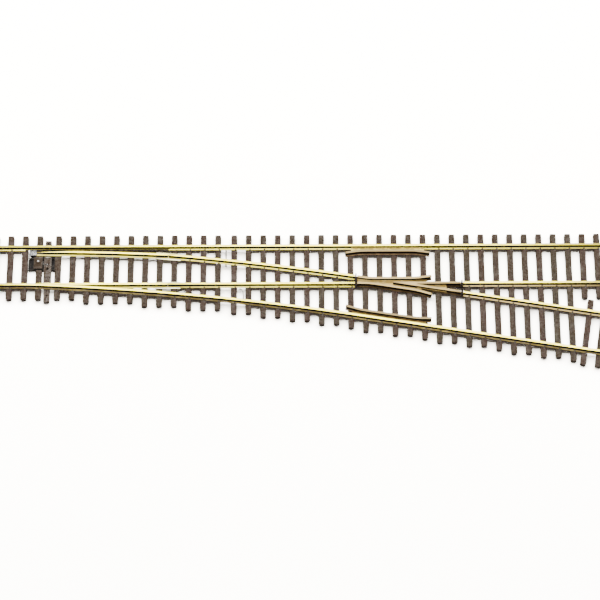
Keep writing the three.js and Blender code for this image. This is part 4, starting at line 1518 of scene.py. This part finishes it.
@dataclass
class SwitchGear:
    """Throwbar, spring box, cover, post, spring, links, joiners and contact plate."""

    palette: Palette
    tray_size: Point = (10.6 * MM, 4.6 * MM, 0.12 * MM)
    tray_centre: Point = (-105.0 * MM, 7.3 * MM, 0.06 * MM)
    built: list[tuple[bpy.types.Object, Body, Slot, bpy.types.Material, tuple[str, ...]]] = field(
        default_factory=list
    )

    def keep(
        self,
        obj: bpy.types.Object,
        body: Body,
        slot: Slot,
        material: bpy.types.Material,
        *nodes: str,
    ) -> None:
        """Notes a finished piece for dress().

        Args:
            obj: The piece.
            body: Its body.
            slot: Its slot.
            material: Its material.
            nodes: The CAD nodes it replaces.
        """
        self.built.append((obj, body, slot, material, nodes))

    def build_throwbar(self) -> None:
        """Models the throwbar with softened edges and a moulded grain."""
        bar = soften(cad_copy("throwbar", "throwbar_moulded"), 0.1 * MM, 3, 30, 40)
        points = vertices_of(bar)
        note_attribute(bar, "along_tie", points[:, [1, 0, 2]] * 1000 + 17)
        note_attribute(bar, "tie_tint", np.full(len(points), 0.62))
        self.keep(bar, Body.THROWBAR, Slot.TIE_PLASTIC, self.palette.tie, "throwbar")

    def build_cover(self) -> None:
        """Models the cover, its boss and rim, and the bright post in it."""
        cover = soften(cad_copy("spring_cover", "spring_cover_plate"), 0.09 * MM, 3, 30, 40)
        points = vertices_of(cover)
        note_attribute(cover, "along_tie", points[:, [1, 0, 2]] * 1000 + 43)
        note_attribute(cover, "tie_tint", np.full(len(points), 0.7))
        self.keep(cover, Body.BASE, Slot.TIE_PLASTIC, self.palette.tie, "spring_cover")
        post = soften(cad_copy("spring_post", "spring_post_turned"), 0.1 * MM, 3, 30, 40)
        self.keep(post, Body.BASE, Slot.WIRE_METAL, self.palette.pin, "spring_post")

    def build_housing(self) -> None:
        """Models the dark spring box and the spring in it."""
        housing = soften(cad_copy("spring_housing", "spring_housing_box"), 0.07 * MM, 2, 30, 40)
        self.keep(housing, Body.BASE, Slot.DARK_PLASTIC, self.palette.housing, "spring_housing")
        spring = soften(cad_copy("over_centre_spring", "spring_wire"), 0.02 * MM, 2, 40, 60)
        self.keep(spring, Body.SPRING, Slot.WIRE_METAL, self.palette.spring, "over_centre_spring")

    def build_tray(self) -> None:
        """Models the low dark tray that the spring box stands in."""
        tray = soften(block("spring_box_tray", self.tray_size, self.tray_centre), 0.03 * MM)
        self.keep(tray, Body.BASE, Slot.DARK_PLASTIC, self.palette.housing)

    def build_plates(self) -> None:
        """Models the contact plate, the links and the joiners."""
        plate = soften(cad_copy("point_contact_plate", "contact_plate"), 0.06 * MM, 3, 30, 40)
        corner_a, corner_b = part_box("point_contact_plate")
        middle = [(a + b) / 2 for a, b in zip(corner_a, corner_b)]
        rivets = [
            drum(
                f"plate_rivet_{i}",
                0.28 * MM,
                0.09 * MM,
                (middle[0] + dx * MM, middle[1], corner_b[2] - 0.01 * MM),
                20,
            )
            for i, dx in enumerate((-0.75, 0.75))
        ]
        for rivet in rivets:
            soften(rivet, 0.04 * MM, 2, 40, 50)
        plate = fuse("contact_plate_riveted", [plate, *rivets])
        self.keep(plate, Body.BASE, Slot.PLATE_METAL, self.palette.plate, "point_contact_plate")
        for side, body in (
            ("straight", Body.STRAIGHT_POINT),
            ("diverging", Body.DIVERGING_POINT),
        ):
            link = soften(cad_copy(f"point_link_{side}", f"link_tab_{side}"), 0.03 * MM, 2, 30, 40)
            self.keep(link, body, Slot.PLATE_METAL, self.palette.link, f"point_link_{side}")
            joiner = soften(
                cad_copy(f"heel_joiner_{side}", f"joiner_{side}"), 0.04 * MM, 2, 30, 40
            )
            self.keep(
                joiner, Body.BASE, Slot.WIRE_METAL, self.palette.joiner, f"heel_joiner_{side}"
            )

    def build(self) -> None:
        """Models the whole of the gear."""
        self.build_throwbar()
        self.build_cover()
        self.build_housing()
        self.build_tray()
        self.build_plates()

    def dress(self) -> None:
        """Hands the gear over."""
        for obj, body, slot, material, nodes in self.built:
            hand_over(obj, body, slot, material, *nodes)


# ------------------------------------------------------------------------------ wiring


@dataclass
class Wiring:
    """The two jumper wires and their solder."""

    palette: Palette
    dab_size: Point = (0.9 * MM, 0.6 * MM, 0.5 * MM)
    dab_x: float = -31.7 * MM
    dab_side: float = 1.05 * MM
    dab_height: float = 2.25 * MM
    built: dict[str, bpy.types.Object] = field(default_factory=dict)
    dabs: list[bpy.types.Object] = field(default_factory=list)

    def build(self) -> None:
        """Models the wires."""
        for side in ("straight", "diverging"):
            node = f"jumper_wire_{side}_side"
            wire = cad_copy(node, f"{node}_soldered")
            self.built[node] = soften(wire, 0.05 * MM, 2, 40, 75)
        rail = RailLine.of("closure_rail_diverging")
        spot = (self.dab_x, rail.side(self.dab_x) - self.dab_side, self.dab_height)
        self.dabs.append(bead("solder_dab", self.dab_size, spot))

    def dress(self) -> None:
        """Hands the wires over."""
        for node, obj in self.built.items():
            hand_over(obj, Body.BASE, Slot.WIRE_METAL, self.palette.wire, node)
        for dab in self.dabs:
            hand_over(dab, Body.BASE, Slot.WIRE_METAL, self.palette.solder)


# ------------------------------------------------------------------------------ studio


class Reach(Enum):
    """What a light shines on."""

    OBJECT = "object"
    FLOOR = "floor"


@dataclass(frozen=True)
class Softbox:
    """A soft light that looks at the turnout."""

    name: str
    place: Point
    size: tuple[float, float]
    power: float
    reach: Reach


@dataclass(frozen=True)
class Studio:
    """Floor, light and camera."""

    floor_size: float = 3.0
    aim: Point = (0.0032, -0.01635, 0.0042)
    distance: float = 1.002
    elevation: float = 65.5
    roll: float = -0.24
    lens: float = 144.46
    sky: Colour = (1.0, 0.94, 0.86)
    sky_strength: float = 0.28
    lights: tuple[Softbox, ...] = (
        Softbox("key_softbox", (0.0, 0.6, 1.38), (1.3, 0.5), 42.0, Reach.OBJECT),
        Softbox("top_softbox", (0.0, -0.22, 1.5), (1.3, 0.45), 30.0, Reach.OBJECT),
        Softbox("fill_softbox", (0.0, -1.0, 0.75), (1.2, 0.5), 9.0, Reach.OBJECT),
        Softbox("paper_softbox", (0.0, 0.6, 0.95), (2.6, 1.1), 500.0, Reach.FLOOR),
    )

    def build(self) -> None:
        """Builds the stage."""
        bpy.ops.mesh.primitive_plane_add(size=self.floor_size, location=(0, 0, 0))
        floor = bpy.context.active_object
        floor.name = "studio_floor"
        floor.data.materials.append(FloorFinish().build())
        floor.visible_diffuse = False
        floor.visible_glossy = False
        world = bpy.data.worlds.new("studio_sky")
        world.use_nodes = True
        background = world.node_tree.nodes["Background"]
        background.inputs[0].default_value = (*self.sky, 1)
        background.inputs[1].default_value = self.sky_strength
        bpy.context.scene.world = world
        for softbox in self.lights:
            self.add_light(softbox, floor)
        self.add_camera()

    def add_light(self, softbox: Softbox, floor: bpy.types.Object) -> None:
        """Adds a soft light.

        Args:
            softbox: The light.
            floor: The floor, which a light can leave out or be kept to.
        """
        light = bpy.data.lights.new(softbox.name, "AREA")
        light.shape = "RECTANGLE"
        light.size, light.size_y = softbox.size
        light.energy = softbox.power
        lamp = bpy.data.objects.new(softbox.name, light)
        bpy.context.scene.collection.objects.link(lamp)
        lamp.location = softbox.place
        aim = Vector(self.aim) - Vector(softbox.place)
        lamp.rotation_euler = aim.to_track_quat("-Z", "Y").to_euler()
        receivers = bpy.data.collections.new(f"{softbox.name}_receivers")
        receivers.objects.link(floor)
        link = receivers.collection_objects[0].light_linking
        link.link_state = "INCLUDE" if softbox.reach is Reach.FLOOR else "EXCLUDE"
        lamp.light_linking.receiver_collection = receivers

    def add_camera(self) -> None:
        """Adds the camera."""
        tilt = math.radians(self.elevation)
        offset = Vector((0, -math.cos(tilt), math.sin(tilt))) * self.distance
        data = bpy.data.cameras.new("studio_camera")
        data.lens = self.lens
        data.sensor_width = 36
        data.clip_end = 20
        data.dof.use_dof = False
        camera = bpy.data.objects.new("studio_camera", data)
        bpy.context.scene.collection.objects.link(camera)
        camera.location = Vector(self.aim) + offset
        look = (-offset).to_track_quat("-Z", "Y").to_matrix().to_4x4()
        turn = Matrix.Rotation(math.radians(self.roll), 4, "Z")
        camera.rotation_euler = (look @ turn).to_euler()
        bpy.context.scene.camera = camera


# ------------------------------------------------------------------------------ the whole


def main() -> None:
    """Builds every sub-assembly and the stage."""
    logging.basicConfig(level=logging.INFO, format="%(name)s %(message)s")
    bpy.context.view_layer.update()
    palette = Palette()
    assemblies = (
        TieStrips(palette),
        Rails(palette),
        FrogAndGuards(palette),
        SwitchGear(palette),
        Wiring(palette),
    )
    for assembly in assemblies:
        LOG.info("building %s", type(assembly).__name__)
        assembly.build()
        assembly.dress()
    Studio().build()


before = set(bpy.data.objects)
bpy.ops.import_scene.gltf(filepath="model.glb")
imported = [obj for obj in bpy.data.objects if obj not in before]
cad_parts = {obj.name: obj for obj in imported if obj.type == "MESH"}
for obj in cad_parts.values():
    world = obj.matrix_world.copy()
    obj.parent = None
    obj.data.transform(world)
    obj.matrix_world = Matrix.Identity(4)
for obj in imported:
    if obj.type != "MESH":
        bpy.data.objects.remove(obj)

if __name__ == "__main__":
    main()
